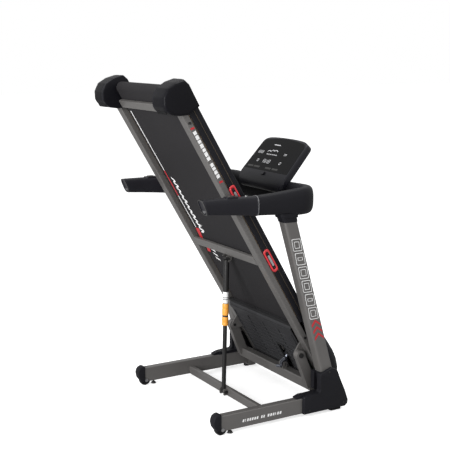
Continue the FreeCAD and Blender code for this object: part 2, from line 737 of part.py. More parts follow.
def deck_crossbars():
    """Front, middle and rear cross members; the middle one has the gas spring's bracket."""
    inside = DECK_HALF - TUBE_WIDTH
    rear = square_tube(-inside, inside, -DECK_REAR_S, -DECK_REAR_S + 40, 0, 17.2, X_AXIS)
    front = square_tube(-inside, inside, -DECK_FRONT_S - 40, -DECK_FRONT_S, 0, 28, X_AXIS)
    middle = square_tube(-inside, inside, -MID_BEAM_S - MID_BEAM_LENGTH, -MID_BEAM_S,
                         0, MID_BEAM_HEIGHT, X_AXIS, 3.0)
    # The bracket's hook is open below and towards the rear, the two ways the spring's bolt leaves it.
    s = SPRING_TOP_S
    t = SPRING_TOP_T
    ear = deck_prism([(MID_BEAM_S + 2, -10), (MID_BEAM_S + 2, 14), (s - 4, 14), (s - 15, 6),
                      (s - 15, t - 8), (s - 9.5, t - 8), (s - 7, t), (s, t), (s + 4.3, t + 4.3),
                      (s + 15, t - 5)], 17, 21)
    ear = ear.cut(deck_cylinder(s, t, 6, 10, 30))
    middle = fuse(middle, ear, mirrored(ear))
    return [rear, front, middle]


def running_board():
    return deck_box(-300, 300, 240, 1456, BOARD_T, BOARD_T + BOARD_THICK)


def running_belt():
    """The endless belt round both rollers."""
    def loop(radius, x0, x1):
        ends = fuse(deck_cylinder(FRONT_ROLLER_S, ROLLER_T, radius, x0, x1),
                    deck_cylinder(REAR_ROLLER_S, ROLLER_T, radius, x0, x1),
                    deck_box(x0, x1, FRONT_ROLLER_S, REAR_ROLLER_S, ROLLER_T - radius, ROLLER_T + radius))
        return ends
    gap = 0.3
    outer = loop(ROLLER_R + gap + BELT_THICK, -BELT_HALF, BELT_HALF)
    inner = loop(ROLLER_R + gap, -BELT_HALF - 1, BELT_HALF + 1)
    return outer.cut(inner)


def foot_rail():
    """Moulded side rail: a tread plate over the belt's edge and a skirt down to the side tube."""
    outline = []
    for x, t in ((264, 78), (266, 86), (272, FOOTRAIL_TOP), (340, FOOTRAIL_TOP), (FOOTRAIL_OUT_X, 82),
                 (FOOTRAIL_OUT_X, 31), (343.5, 31), (343.5, 80), (338, 84), (272, 84), (270, 78)):
        outline.append(V(x, 0, t))
    face = Part.Face(Part.makePolygon(outline + [outline[0]]))
    rail = face.extrude(V(0, DECK_REAR_S - 26 - 236, 0))
    rail.translate(V(0, -(DECK_REAR_S - 26), 0))
    ribs = [deck_box(301.5, 308, 250, 1430, BOARD_T + 2, 85)]
    rail = fuse(rail, *ribs)
    reach = CUSHION_LENGTH / 2 + 0.5
    for s in CUSHION_S:
        rail = rail.cut(deck_box(342, 350, s - reach, s + reach, 30, 63.5))
    return rail


def cushion_housing(s):
    """Oval elastomer mount seen between the side tube and the foot rail."""
    half = CUSHION_LENGTH / 2
    body = round_edges_along(deck_box(318, 349.5, s - half, s + half, TUBE_HEIGHT + 0.1, 63), X_AXIS, 14)
    well = deck_box(317, 344, s - half + 8, s + half - 8, TUBE_HEIGHT + 5, BOARD_T + 12)
    body = body.cut(well)
    for offset in (-half + 13, half - 13):
        body = body.cut(deck_cylinder(s + offset, 46, 4.5, 343, 352))
    return body


def cushion_block(s):
    return deck_box(296, 316, s - 45, s + 45, TUBE_HEIGHT, BOARD_T)


REAR_CAP_IN_X = 263.0
REAR_CAP_OUT_X = 374.0


def rear_cap_outline(inset):
    i = inset
    return [(1424 + i, 10), (1442 + i, -26), (1472 + i / 2, -62 + i), (1494, -67 + i), (1518, -67 + i),
            (1542 - i, -54 + i), (1566 - i, -12), (1574 - i, 30), (1572 - i, 66 - i / 2),
            (1554 - i, 90 - i), (1520, 95 - i), (1426 + i, 92 - i)]


def rear_end_cap():
    """Moulded shell over the rear corner; its lower lobe is the foot the deck stands on."""
    cap = deck_prism(rear_cap_outline(0), REAR_CAP_IN_X, REAR_CAP_OUT_X)
    cap = round_edges_along(cap, X_AXIS, 7)
    outer_edges = [e for e in cap.Edges if e.BoundBox.XMin > REAR_CAP_OUT_X - 0.01]
    cap = cap.makeFillet(9, outer_edges)
    cap = cap.cut(deck_prism(rear_cap_outline(4.5), REAR_CAP_IN_X + 4.5, REAR_CAP_OUT_X - 4.5))
    tube_in_x = DECK_HALF - TUBE_WIDTH
    top = FOOTRAIL_TOP + 0.4
    mouth = deck_box(tube_in_x - 0.5, FOOTRAIL_OUT_X + 0.6, 1400, 1452, -0.4, top)
    inside = deck_box(REAR_CAP_IN_X - 1, tube_in_x, 1400, DECK_REAR_S + 1, -0.5, top)
    shaft = deck_cylinder(REAR_ROLLER_S, ROLLER_T, ROLLER_SHAFT_R + 0.5, REAR_CAP_IN_X - 1, REAR_CAP_IN_X + 6)
    return largest_solid(cap.cut(mouth).cut(inside).cut(shaft))


def roller(s, half, pulley):
    """Steel roller with a bored-out end for each bearing."""
    body = deck_cylinder(s, ROLLER_T, ROLLER_R, -half, half)
    body = body.cut(deck_cylinder(s, ROLLER_T, ROLLER_R - 4, -half + 14, half - 14))
    if pulley:
        wheel = deck_cylinder(s, ROLLER_T, ROLLER_PULLEY_R, PULLEY_X - 9, PULLEY_X + 9)
        for index in range(5):
            x = PULLEY_X - 6.5 + 3.0 * index
            groove = deck_cylinder(s, ROLLER_T, 60, x, x + 1.2)
            groove = groove.cut(deck_cylinder(s, ROLLER_T, ROLLER_PULLEY_R - 1.5, x - 1, x + 3))
            wheel = wheel.cut(groove)
        body = fuse(body, wheel)
    bore = deck_cylinder(s, ROLLER_T, ROLLER_SHAFT_R + RUNNING_GAP, -400, 400)
    return body.cut(bore)


def roller_shafts():
    """The two fixed shafts that the rollers turn on, clamped to the side rails."""
    front = deck_cylinder(FRONT_ROLLER_S, ROLLER_T, ROLLER_SHAFT_R, -300, 300)
    rear = deck_cylinder(REAR_ROLLER_S, ROLLER_T, ROLLER_SHAFT_R, -330, 330)
    return [front, rear]


def roller_brackets():
    """Plates that join the shafts to the side tubes."""
    front = deck_box(291, 299, FRONT_ROLLER_S - 18, FRONT_ROLLER_S + 18, TUBE_HEIGHT, ROLLER_T + 15)
    front = front.cut(deck_cylinder(FRONT_ROLLER_S, ROLLER_T, ROLLER_SHAFT_R, 280, 310))
    rear = deck_box(300, 308, DECK_REAR_S, REAR_ROLLER_S + 16, 4, ROLLER_T + 15)
    rear = rear.cut(deck_cylinder(REAR_ROLLER_S, ROLLER_T, ROLLER_SHAFT_R, 290, 320))
    return [front, mirrored(front), rear, mirrored(rear)]


HOOD_OUTLINE = [(262, 80), (262, 92), (178, 124), (98, 142), (5, 150), (-40, 153), (-84, 148), (-122, 135),
                (-156, 112), (-180, 78), (-190, 40), (-190, 31)]


def motor_hood():
    """Moulded cover over the motor compartment."""
    outer = deck_prism(HOOD_OUTLINE + [(262, 31)], -DECK_HALF, DECK_HALF)
    side_edges = []
    for edge in outer.Edges:
        box_of = edge.BoundBox
        on_side = box_of.XMax - box_of.XMin < 0.01
        if on_side and box_of.ZMax > 93:
            side_edges.append(edge)
    outer = outer.makeFillet(16, side_edges)
    wall = 4.0
    inner_outline = []
    for s, t in HOOD_OUTLINE:
        inner_outline.append((s * 0.975 if s < 0 else s + 5, t - wall if t > 60 else t))
    inner = deck_prism(inner_outline + [(-185, 20), (267, 20)], -DECK_HALF + wall, DECK_HALF - wall)
    hood = outer.cut(inner)
    belt_mouth = deck_box(-308, 308, 240, 300, 20, 89)
    rail_mouth = deck_box(-360, 360, 235.5, 300, 20, 88.6)
    inlet_mouth = deck_box(149.8, 220.2, -205, -176, 33.8, 72.2)
    return largest_solid(hood.cut(belt_mouth).cut(rail_mouth).cut(inlet_mouth))


def belly_tray():
    """Ribbed pan under the motor compartment with a slot for the incline actuator."""
    inside = DECK_HALF - TUBE_WIDTH - 2
    outline = [(232, 14), (206, -8), (-140, -8), (-146, -2), (-146, 8), (-136, 8), (-136, -5),
               (204, -5), (229, 16)]
    tray = deck_prism(outline, -inside, inside)
    ribs = []
    for index in range(9):
        s = -110 + 34 * index
        ribs.append(deck_box(-inside + 14, inside - 14, s, s + 5, -12, -7.5))
    tray = fuse(tray, *ribs)
    slot = deck_box(ACTUATOR_X - 27, ACTUATOR_X + 27, -120, 40, -20, 10)
    return largest_solid(tray.cut(slot))


def drive_motor():
    """Motor can with end bells and a mounting foot."""
    can = deck_cylinder(MOTOR_S, MOTOR_T, 46, -210, -30)
    bell = deck_cylinder(MOTOR_S, MOTOR_T, 49, -222, -208)
    other = deck_cylinder(MOTOR_S, MOTOR_T, 49, -32, -20)
    foot = deck_box(-190, -50, MOTOR_S - 40, MOTOR_S + 40, 8, 24)
    motor = fuse(can, bell, other, foot)
    return motor.cut(deck_cylinder(MOTOR_S, MOTOR_T, 7 + RUNNING_GAP, -230, 0))


def motor_plate():
    """Steel plate across the side tubes that carries the motor and the actuator."""
    inside = DECK_HALF - TUBE_WIDTH
    plate = deck_box(-inside, inside, -20, 130, 3, 8)
    plate = plate.cut(deck_box(ACTUATOR_X - 30, ACTUATOR_X + 30, -60, 60, 0, 12))
    ear = deck_box(ACTUATOR_X + 24, ACTUATOR_X + 29, -4, 50, 8, 122)
    ear = fuse(ear, deck_box(ACTUATOR_X + 24, ACTUATOR_X + 60, 40, 50, 8, 40))
    other = deck_box(ACTUATOR_X - 36, ACTUATOR_X - 31, -4, 50, 8, 122)
    both = fuse(plate, ear, other)
    hole = deck_cylinder(ACTUATOR_TOP_S, ACTUATOR_TOP_T, 5, ACTUATOR_X - 40, ACTUATOR_X + 40)
    return both.cut(hole)


def motor_rotor():
    """Motor shaft with its flywheel and ribbed drive pulley."""
    shaft = deck_cylinder(MOTOR_S, MOTOR_T, 7, PULLEY_X - 14, -12)
    flywheel = deck_cylinder(MOTOR_S, MOTOR_T, 38, -248, -232)
    pulley = deck_cylinder(MOTOR_S, MOTOR_T, MOTOR_PULLEY_R, PULLEY_X - 9, PULLEY_X + 9)
    return fuse(shaft, flywheel, pulley)


def drive_belt():
    """Ribbed belt from the motor pulley to the roller pulley."""
    def loop(gap, x0, x1):
        small = MOTOR_PULLEY_R + gap
        large = ROLLER_PULLEY_R + gap
        span = math.hypot(FRONT_ROLLER_S - MOTOR_S, ROLLER_T - MOTOR_T)
        slope = math.atan2(ROLLER_T - MOTOR_T, FRONT_ROLLER_S - MOTOR_S)
        spread = math.acos((large - small) / span)
        corners = []
        for side in (1, -1):
            angle = slope + side * (math.pi - spread)
            near = (MOTOR_S + small * math.cos(angle), MOTOR_T + small * math.sin(angle))
            far = (FRONT_ROLLER_S + large * math.cos(angle), ROLLER_T + large * math.sin(angle))
            corners.append((near, far))
        outline = [corners[0][0], corners[0][1], corners[1][1], corners[1][0]]
        return fuse(deck_prism(outline, x0, x1), deck_cylinder(MOTOR_S, MOTOR_T, small, x0, x1),
                    deck_cylinder(FRONT_ROLLER_S, ROLLER_T, large, x0, x1))
    return loop(2.6, PULLEY_X - 7, PULLEY_X + 7).cut(loop(0.3, PULLEY_X - 8, PULLEY_X + 8))


def controller_board():
    """Motor controller: circuit board on stand-offs with a finned heat sink."""
    board = deck_box(140, 270, -120, -20, 16, 18)
    sink = deck_box(150, 200, -110, -40, 18, 24)
    fins = [deck_box(150 + 7 * i, 152 + 7 * i, -110, -40, 24, 46) for i in range(8)]
    capacitors = [Part.makeCylinder(12, 40, V(235, 50 + 34 * i, 18), Z_AXIS) for i in range(2)]
    posts = [Part.makeCylinder(3, 19, V(x, y, -3), Z_AXIS) for x in (146, 264) for y in (28, 112)]
    return fuse(board, sink, *fins, *capacitors, *posts)


def power_inlet():
    """Socket frame for the mains lead and the power switch, low on the hood's front."""
    frame = deck_box(150, 220, -198, -186, 34, 72)
    switch_well = deck_box(154, 182, -199, -180, 39.5, 67)
    socket_well = deck_box(190, 215, -199, -189, 42, 64)
    pins = [deck_box(197 + 4.5 * i, 199 + 4.5 * i, -196, -188, 50, 56) for i in range(3)]
    return fuse(frame.cut(switch_well).cut(socket_well), *pins)


def power_switch():
    rocker = deck_prism([(-188, 43), (-188, 63), (-196, 65), (-199, 53), (-201, 43)], 156, 180)
    return fuse(rocker, deck_cylinder(-188, 53, 3, 154.5, 181.5))


def deck_bolts():
    """Hexagon bolts along the side tubes' outer faces."""
    return [deck_cylinder(s, 15, 6, DECK_HALF + 0.02, DECK_HALF + 4) for s in (-120, 150, 1380)]


# ---- incline frame ---------------------------------------------------------------------------

def incline_frame():
    """U-shaped lifting frame: two arms, a square crossbar, and a leg to each fold pin."""
    x0 = ARM_OUT_X - ARM_WIDTH
    top = V(0, INCLINE_Y, INCLINE_Z)
    foot = V(0, FRAME_BAR_Y - 10, FRAME_BAR_Z)
    along = foot - top
    along.normalize()
    side = V(0, -along.z, along.y) * (ARM_DEPTH / 2)
    corners = [top + side, foot + side, foot - side, top - side]
    arm = prism_x([(c.y, c.z) for c in corners], x0, ARM_OUT_X)
    arm = fuse(arm, cylinder_x(INCLINE_Y, INCLINE_Z, ARM_DEPTH / 2, x0, ARM_OUT_X))
    leg_r = 17.5
    leg_start = V(0, FRAME_BAR_Y, FRAME_BAR_Z)
    leg_end = V(0, FOLD_Y, FOLD_Z)
    down = leg_end - leg_start
    down.normalize()
    leg_side = V(0, -down.z, down.y) * leg_r
    leg_corners = [leg_start + leg_side, leg_end + leg_side, leg_end - leg_side, leg_start - leg_side]
    leg = prism_x([(c.y, c.z) for c in leg_corners], x0, ARM_OUT_X)
    leg = fuse(leg, cylinder_x(FOLD_Y, FOLD_Z, leg_r, x0, ARM_OUT_X))
    half = FRAME_BAR_SIZE / 2
    bar = box(-ARM_OUT_X, ARM_OUT_X, FRAME_BAR_Y - half, FRAME_BAR_Y + half,
              FRAME_BAR_Z - half, FRAME_BAR_Z + half)
    bar = round_edges_along(bar, X_AXIS, 6)
    hollow = box(-x0, x0, FRAME_BAR_Y - half + 3, FRAME_BAR_Y + half - 3,
                 FRAME_BAR_Z - half + 3, FRAME_BAR_Z + half - 3)
    ear = prism_x([(ACTUATOR_LOW_Y - 14, 136), (ACTUATOR_LOW_Y + 14, 136), (ACTUATOR_LOW_Y + 12, 166),
                   (ACTUATOR_LOW_Y + 6, 172), (ACTUATOR_LOW_Y - 6, 172), (ACTUATOR_LOW_Y - 12, 166)],
                  ACTUATOR_X + 13, ACTUATOR_X + 18)
    other = ear.copy()
    other.translate(V(-31, 0, 0))
    frame = fuse(arm, leg, mirrored(arm), mirrored(leg), bar).cut(hollow)
    frame = fuse(frame, ear, other)
    holes = [cylinder_x(INCLINE_Y, INCLINE_Z, 11, -400, 400),
             cylinder_x(FOLD_Y, FOLD_Z, BUSH_R + RUNNING_GAP, -400, 400),
             cylinder_x(ACTUATOR_LOW_Y, ACTUATOR_LOW_Z, 5, ACTUATOR_X - 30, ACTUATOR_X + 30)]
    for hole in holes:
        frame = frame.cut(hole)
    return frame


def incline_bush():
    """Plain bearing pressed into an arm's upper end."""
    ring = cylinder_x(INCLINE_Y, INCLINE_Z, 11, ARM_OUT_X - ARM_WIDTH, ARM_OUT_X)
    return ring.cut(cylinder_x(INCLINE_Y, INCLINE_Z, FOLD_PIN_R + RUNNING_GAP, 200, 400))


def actuator_low_pin():
    return cylinder_x(ACTUATOR_LOW_Y, ACTUATOR_LOW_Z, 5, ACTUATOR_X - 20, ACTUATOR_X + 20)


# ---- gas spring ------------------------------------------------------------------------------

SPRING_LOW = V(0, SPRING_LOW_Y, SPRING_LOW_Z)
SPRING_TOP = deck_point(0, SPRING_TOP_S, SPRING_TOP_T)
SPRING_LINE = SPRING_TOP - SPRING_LOW
SPRING_LENGTH = SPRING_LINE.Length
SPRING_DIR = V(SPRING_LINE.x, SPRING_LINE.y, SPRING_LINE.z).normalize()
SPRING_BODY_END = SPRING_LENGTH - SPRING_BODY_LENGTH


def along_spring(distance):
    return SPRING_LOW + SPRING_DIR * distance


def spring_lower_tube():
    """The inner tube with the lower eye."""
    tube = rod(along_spring(22), along_spring(SPRING_BODY_END + 1.5), SPRING_ROD_R)
    eye = cylinder_x(SPRING_LOW_Y, SPRING_LOW_Z, 9.5, -13, 13)
    fitting = rod(along_spring(6), along_spring(24), 9)
    shape = fuse(tube, eye, fitting)
    return shape.cut(cylinder_x(SPRING_LOW_Y, SPRING_LOW_Z, 5 + RUNNING_GAP, -30, 30))


def spring_upper_tube():
    """The outer tube with the upper eye and its cross bolt."""
    tube = rod(along_spring(SPRING_BODY_END + 2), along_spring(SPRING_LENGTH - 9), SPRING_BODY_R)
    bore = rod(along_spring(SPRING_BODY_END), along_spring(SPRING_LENGTH - 10.3), SPRING_ROD_R + RUNNING_GAP)
    eye = cylinder_x(SPRING_TOP.y, SPRING_TOP.z, 10, -12, 12)
    return fuse(tube.cut(bore), eye, cylinder_x(SPRING_TOP.y, SPRING_TOP.z, 4.5, -26, 26))


def spring_sleeve():
    """The two-part locking sleeve at the mouth of the outer tube."""
    start = SPRING_BODY_END - 8
    sleeve = fuse(rod(along_spring(start), along_spring(start + 44), SPRING_BODY_R + 2.5),
                  rod(along_spring(start + 44), along_spring(start + 52), SPRING_BODY_R + 1.0),
                  rod(along_spring(start + 52), along_spring(start + 112), SPRING_BODY_R + 2.5))
    sleeve = sleeve.cut(rod(along_spring(SPRING_BODY_END + 2), along_spring(start + 120), SPRING_BODY_R))
    return sleeve.cut(rod(along_spring(start - 5), along_spring(start + 40), SPRING_ROD_R + 0.4))


def spring_low_bolt():
    return fuse(cylinder_x(SPRING_LOW_Y, SPRING_LOW_Z, 5, -23, 23),
                hexagon_x(SPRING_LOW_Y, SPRING_LOW_Z, 8, 21.02, 27))


# ---- incline actuator ------------------------------------------------------------------------

ACTUATOR_TOP = deck_point(ACTUATOR_X, ACTUATOR_TOP_S, ACTUATOR_TOP_T)
ACTUATOR_LOW = V(ACTUATOR_X, ACTUATOR_LOW_Y, ACTUATOR_LOW_Z)
ACTUATOR_LINE = ACTUATOR_LOW - ACTUATOR_TOP
ACTUATOR_DIR = V(0, ACTUATOR_LINE.y, ACTUATOR_LINE.z).normalize()


def along_actuator(distance):
    return ACTUATOR_TOP + ACTUATOR_DIR * distance


def actuator_body():
    """Geared motor and screw housing, hung from a cross pin on the deck."""
    housing = rod(along_actuator(-12), along_actuator(ACTUATOR_LINE.Length - 48), 19)
    pin = cylinder_x(ACTUATOR_TOP.y, ACTUATOR_TOP.z, 5 - RUNNING_GAP, ACTUATOR_X - 37, ACTUATOR_X + 31)
    bore = rod(along_actuator(2), along_actuator(ACTUATOR_LINE.Length + 40), 9 + RUNNING_GAP)
    return fuse(housing.cut(bore), pin)


def actuator_screw():
    """The sliding rod; its eye is wide enough for the pin at every incline."""
    shaft = rod(along_actuator(6), along_actuator(ACTUATOR_LINE.Length - 14), 9)
    end = rod(along_actuator(ACTUATOR_LINE.Length - 30), along_actuator(ACTUATOR_LINE.Length + 13), 12)
    end = end.common(box(ACTUATOR_X - 9, ACTUATOR_X + 9, 400, 800, 0, 500))
    hole = cylinder_x(ACTUATOR_LOW_Y, ACTUATOR_LOW_Z, 6.8, 0, 200)
    return fuse(shaft, end).cut(hole)


# ---- every part ------------------------------------------------------------------------------

def build():
    right = {"rear_wheel": rear_wheel(), "levelling_foot": levelling_foot()}
    for name, shape in right.items():
        add(name + "_right", shape)
        add(name + "_left", mirrored(shape))
    add("base_rails", both_sides(floor_rail()))
    add("uprights", both_sides(upright()))
    add("upright_covers", both_sides(upright_cover()))
    add("base_crossbars", floor_crossbars())
    add("hinge_brackets", both_sides(hinge_bracket()))
    add("rail_end_caps", both_sides(rail_end_cap()))
    add("wheel_axles", both_sides(wheel_axle()))
    add("front_feet", both_sides(front_foot()))
    fasteners = base_fasteners()
    fasteners += [mirrored(screw) for screw in fasteners]
    add("base_fasteners", Part.makeCompound(fasteners + [spring_low_bolt()]))

    add("handlebar_tube", handlebar_tube())
    add("handlebar_shell", handlebar_shell())
    add("handlebar_grips", both_sides(handlebar_grip()))
    add("handlebar_end_caps", both_sides(grip_end_cap()))
    add("upright_collars", both_sides(upright_collar()))
    add("console_housing", console_housing())
    add("display_glass", display_glass())
    add("console_electronics", console_electronics())
    add("console_bracket", console_bracket())
    for name, across in BUTTON_PLACES.items():
        add(name, console_button(across))
    add("safety_key", safety_key())
    add("speed_key", quick_key(1))
    add("incline_key", quick_key(-1))
    add("key_pods", Part.makeCompound([quick_key_pod(1), quick_key_pod(-1)]))

    side = deck_side_rail()
    tread = foot_rail()
    cap = rear_end_cap()
    add("deck_side_rails", on_deck(both_sides(side)))
    add("foot_rails", on_deck(both_sides(tread)))
    add("rear_end_caps", on_deck(both_sides(cap)))
    add("deck_crossbars", on_deck(Part.makeCompound(deck_crossbars())))
    add("running_board", on_deck(running_board()))
    add("running_belt", on_deck(running_belt()))
    add("cushion_housings", on_deck(Part.makeCompound(
        [piece for s in CUSHION_S for piece in (cushion_housing(s), mirrored(cushion_housing(s)))])))
    add("deck_cushions", on_deck(Part.makeCompound(
        [piece for s in CUSHION_S for piece in (cushion_block(s), mirrored(cushion_block(s)))])))
    add("rear_roller", on_deck(roller(REAR_ROLLER_S, 262, False)))
    add("front_roller", on_deck(roller(FRONT_ROLLER_S, 270, True)))
    add("roller_mounts", on_deck(Part.makeCompound(roller_shafts() + roller_brackets())))
    add("motor_hood", on_deck(motor_hood()))
    add("belly_tray", on_deck(belly_tray()))
    add("drive_motor", on_deck(drive_motor()))
    add("motor_plate", on_deck(motor_plate()))
    add("motor_rotor", on_deck(motor_rotor()))
    add("drive_belt", on_deck(drive_belt()))
    add("controller_board", on_deck(controller_board()))
    add("power_inlet", on_deck(power_inlet()))
    add("power_switch", on_deck(power_switch()))
    bolts = deck_bolts() + [incline_pin()]
    add("deck_bolts", on_deck(Part.makeCompound(bolts + [mirrored(b) for b in bolts])))

    add("incline_frame", incline_frame())
    bush = incline_bush()
    add("incline_frame_pins", Part.makeCompound([bush, mirrored(bush), actuator_low_pin()]))
    add("hinge_bushes", both_sides(hinge_bush()))

    add("spring_lower_tube", spring_lower_tube())
    add("spring_upper_tube", spring_upper_tube())
    add("spring_sleeve", spring_sleeve())
    add("actuator_body", actuator_body())
    add("actuator_screw", actuator_screw())


def export():
    os.makedirs("parts", exist_ok=True)
    bounds = FreeCAD.BoundBox()
    for name, shape in nodes.items():
        moved = shape.copy()
        moved.translate(V(0, -ORIGIN_Y, 0))
        moved.exportStep("parts/" + name + ".step")
        bounds.add(moved.BoundBox)
        bad = "" if moved.isValid() else " NOT VALID"
        print(f"{name}: {len(moved.Solids)} solids, {moved.Volume / 1000:.1f} cm3{bad}")
    print("nodes", len(nodes))
    print("box", bounds)
    print("spring length", SPRING_LENGTH, "direction", SPRING_DIR)
    print("actuator length", ACTUATOR_LINE.Length, "direction", ACTUATOR_DIR, "top", ACTUATOR_TOP)


build()
export()
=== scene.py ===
import math

import bmesh
import bpy
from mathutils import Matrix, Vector


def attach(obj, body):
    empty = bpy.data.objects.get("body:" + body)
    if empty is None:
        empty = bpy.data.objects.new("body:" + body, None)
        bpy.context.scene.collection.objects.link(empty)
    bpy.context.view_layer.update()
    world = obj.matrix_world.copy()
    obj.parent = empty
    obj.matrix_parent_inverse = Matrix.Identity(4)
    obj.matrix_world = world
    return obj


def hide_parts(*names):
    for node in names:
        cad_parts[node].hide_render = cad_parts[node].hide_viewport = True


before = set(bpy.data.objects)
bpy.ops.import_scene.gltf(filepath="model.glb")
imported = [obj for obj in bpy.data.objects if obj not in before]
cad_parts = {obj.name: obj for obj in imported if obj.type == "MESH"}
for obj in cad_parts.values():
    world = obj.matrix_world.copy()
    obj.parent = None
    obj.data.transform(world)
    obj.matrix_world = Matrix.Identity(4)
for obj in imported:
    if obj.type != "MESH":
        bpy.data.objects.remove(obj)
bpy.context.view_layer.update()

# The same frame and sizes as the CAD model. Millimetres, y = 0 at the floor rails' rear ends.
# at() turns such a point into the row frame's metres. deck_at() does it for a point given on the
# running deck as (x, s, t): s rearwards along the deck, t up from the underside of its side tubes.
ORIGIN_Y = 250.6
DECK_Y = 576.0
DECK_Z = 233.0
DECK_ANGLE = math.radians(59.5)
DECK_HALF = 341.5
UPRIGHT_LEAN = math.radians(16.3)
UPRIGHT_X = 386.0
CONSOLE_Y = 464.0
CONSOLE_Z = 1111.0
CONSOLE_TILT = math.radians(48.2)
CONSOLE_BEND = 110.0
RAIL_FACE_X = 415.0
FRONT_ROLLER_S = 190.0
REAR_ROLLER_S = 1518.0
ROLLER_T = 45.0
BELT_BACK_T = 17.8
SPRING_BODY_LENGTH = 334.0
SPRING_BORE = 12.4

# How far printed shapes stand off their surface, and where the display's glass and marks end.
PRINT_THICK = 0.35
GLASS_TOP = 0.35
MARK_TOP = 0.6


def at(x, y, z):
    return Vector((x / 1000, (y - ORIGIN_Y) / 1000, z / 1000))


def deck_at(x, s, t):
    y = DECK_Y - s * math.cos(DECK_ANGLE) + t * math.sin(DECK_ANGLE)
    z = DECK_Z + s * math.sin(DECK_ANGLE) + t * math.cos(DECK_ANGLE)
    return at(x, y, z)


def deck_side(u, v, w):
    """u rearwards along the deck, v up from its side tubes' underside, w across."""
    return deck_at(w, u, v)


def side_at(u, v, w):
    """u along Y, v up, w across."""
    return at(w, u, v)


def console_at(u, v, w):
    """u across, v up the console's face, w out of it."""
    y = CONSOLE_Y + v * math.cos(CONSOLE_TILT) - w * math.sin(CONSOLE_TILT)
    z = CONSOLE_Z + v * math.sin(CONSOLE_TILT) + w * math.cos(CONSOLE_TILT)
    return at(u, y, z)


def upright_y(z):
    """Where an upright's centre line is at height z."""
    return 494.0 - (z - 560.0) * math.tan(UPRIGHT_LEAN)


# ---- materials ---------------------------------------------------------------------------------

def material(name, color, rough, metallic=0.0, grain=900.0, bump=0.15, mottle=0.12, mottle_scale=5.0,
             rough_spread=0.08, specular=0.5, coat=0.0, sheen=0.0, wear=None, stretch=(1, 1, 1)):
    """A surface with fine grain in its bump, slow colour variation and uneven gloss."""
    made = bpy.data.materials.new(name)
    made.use_nodes = True
    tree = made.node_tree
    shader = tree.nodes["Principled BSDF"]
    shader.inputs["Metallic"].default_value = metallic
    shader.inputs["Specular IOR Level"].default_value = specular
    shader.inputs["Coat Weight"].default_value = coat
    shader.inputs["Sheen Weight"].default_value = sheen
    place = tree.nodes.new("ShaderNodeTexCoord")
    mapping = tree.nodes.new("ShaderNodeMapping")
    mapping.inputs["Scale"].default_value = stretch
    tree.links.new(place.outputs["Object"], mapping.inputs["Vector"])
    fine = tree.nodes.new("ShaderNodeTexNoise")
    fine.inputs["Scale"].default_value = grain
    fine.inputs["Detail"].default_value = 3.0
    slow = tree.nodes.new("ShaderNodeTexNoise")
    slow.inputs["Scale"].default_value = mottle_scale
    slow.inputs["Detail"].default_value = 5.0
    tree.links.new(mapping.outputs["Vector"], fine.inputs["Vector"])
    tree.links.new(mapping.outputs["Vector"], slow.inputs["Vector"])
    ramp = tree.nodes.new("ShaderNodeValToRGB")
    ramp.color_ramp.elements[0].position = 0.3
    ramp.color_ramp.elements[1].position = 0.7
    ramp.color_ramp.elements[0].color = [c * (1 - mottle) for c in color] + [1]
    ramp.color_ramp.elements[1].color = [min(1, c * (1 + mottle)) for c in color] + [1]
    tree.links.new(slow.outputs["Fac"], ramp.inputs["Fac"])
    final = ramp.outputs["Color"]
    if wear:
        edges = tree.nodes.new("ShaderNodeNewGeometry")
        mask = tree.nodes.new("ShaderNodeMapRange")
        mask.inputs["From Min"].default_value = 0.55
        mask.inputs["From Max"].default_value = 0.72
        mask.inputs["To Max"].default_value = 0.5
        tree.links.new(edges.outputs["Pointiness"], mask.inputs["Value"])
        blend = tree.nodes.new("ShaderNodeMix")
        blend.data_type = "RGBA"
        blend.inputs["B"].default_value = list(wear) + [1]
        tree.links.new(mask.outputs["Result"], blend.inputs["Factor"])
        tree.links.new(final, blend.inputs["A"])
        final = blend.outputs["Result"]
    tree.links.new(final, shader.inputs["Base Color"])
    gloss = tree.nodes.new("ShaderNodeMapRange")
    gloss.inputs["To Min"].default_value = max(0.02, rough - rough_spread)
    gloss.inputs["To Max"].default_value = min(1, rough + rough_spread)
    tree.links.new(slow.outputs["Fac"], gloss.inputs["Value"])
    tree.links.new(gloss.outputs["Result"], shader.inputs["Roughness"])
    relief = tree.nodes.new("ShaderNodeBump")
    relief.inputs["Strength"].default_value = bump
    relief.inputs["Distance"].default_value = 0.0006
    tree.links.new(fine.outputs["Fac"], relief.inputs["Height"])
    tree.links.new(relief.outputs["Normal"], shader.inputs["Normal"])
    return made


PAINT = material("frame_paint", (0.125, 0.12, 0.116), 0.42, metallic=0.35, grain=1400, bump=0.12,
                 mottle=0.05, wear=(0.2, 0.19, 0.185), coat=0.08)
PLASTIC = material("moulded_plastic", (0.0095, 0.0094, 0.012), 0.5, grain=1800, bump=0.3,
                   mottle=0.15, specular=0.16)
PLASTIC_SMOOTH = material("smooth_plastic", (0.0115, 0.0113, 0.0155), 0.34, grain=2500, bump=0.08,
                          mottle=0.12, specular=0.28)
PLASTIC_DEEP = material("deep_black_plastic", (0.0045, 0.0044, 0.0062), 0.42, grain=1800, bump=0.3,
                        mottle=0.15, specular=0.13)
GRIP = material("grip_skin", (0.0125, 0.0122, 0.016), 0.52, grain=700, bump=0.45, mottle=0.12,
                specular=0.17, sheen=0.02)
TRAY = material("tray_plastic", (0.026, 0.026, 0.028), 0.55, grain=1300, bump=0.4, mottle=0.15,
                specular=0.25)
RUBBER = material("foot_rubber", (0.014, 0.014, 0.015), 0.75, grain=1200, bump=0.5, mottle=0.2,
                  specular=0.2)
BELT = material("belt_back", (0.0215, 0.0205, 0.022), 0.72, grain=2600, bump=0.6, mottle=0.1,
                mottle_scale=2.5, specular=0.12)
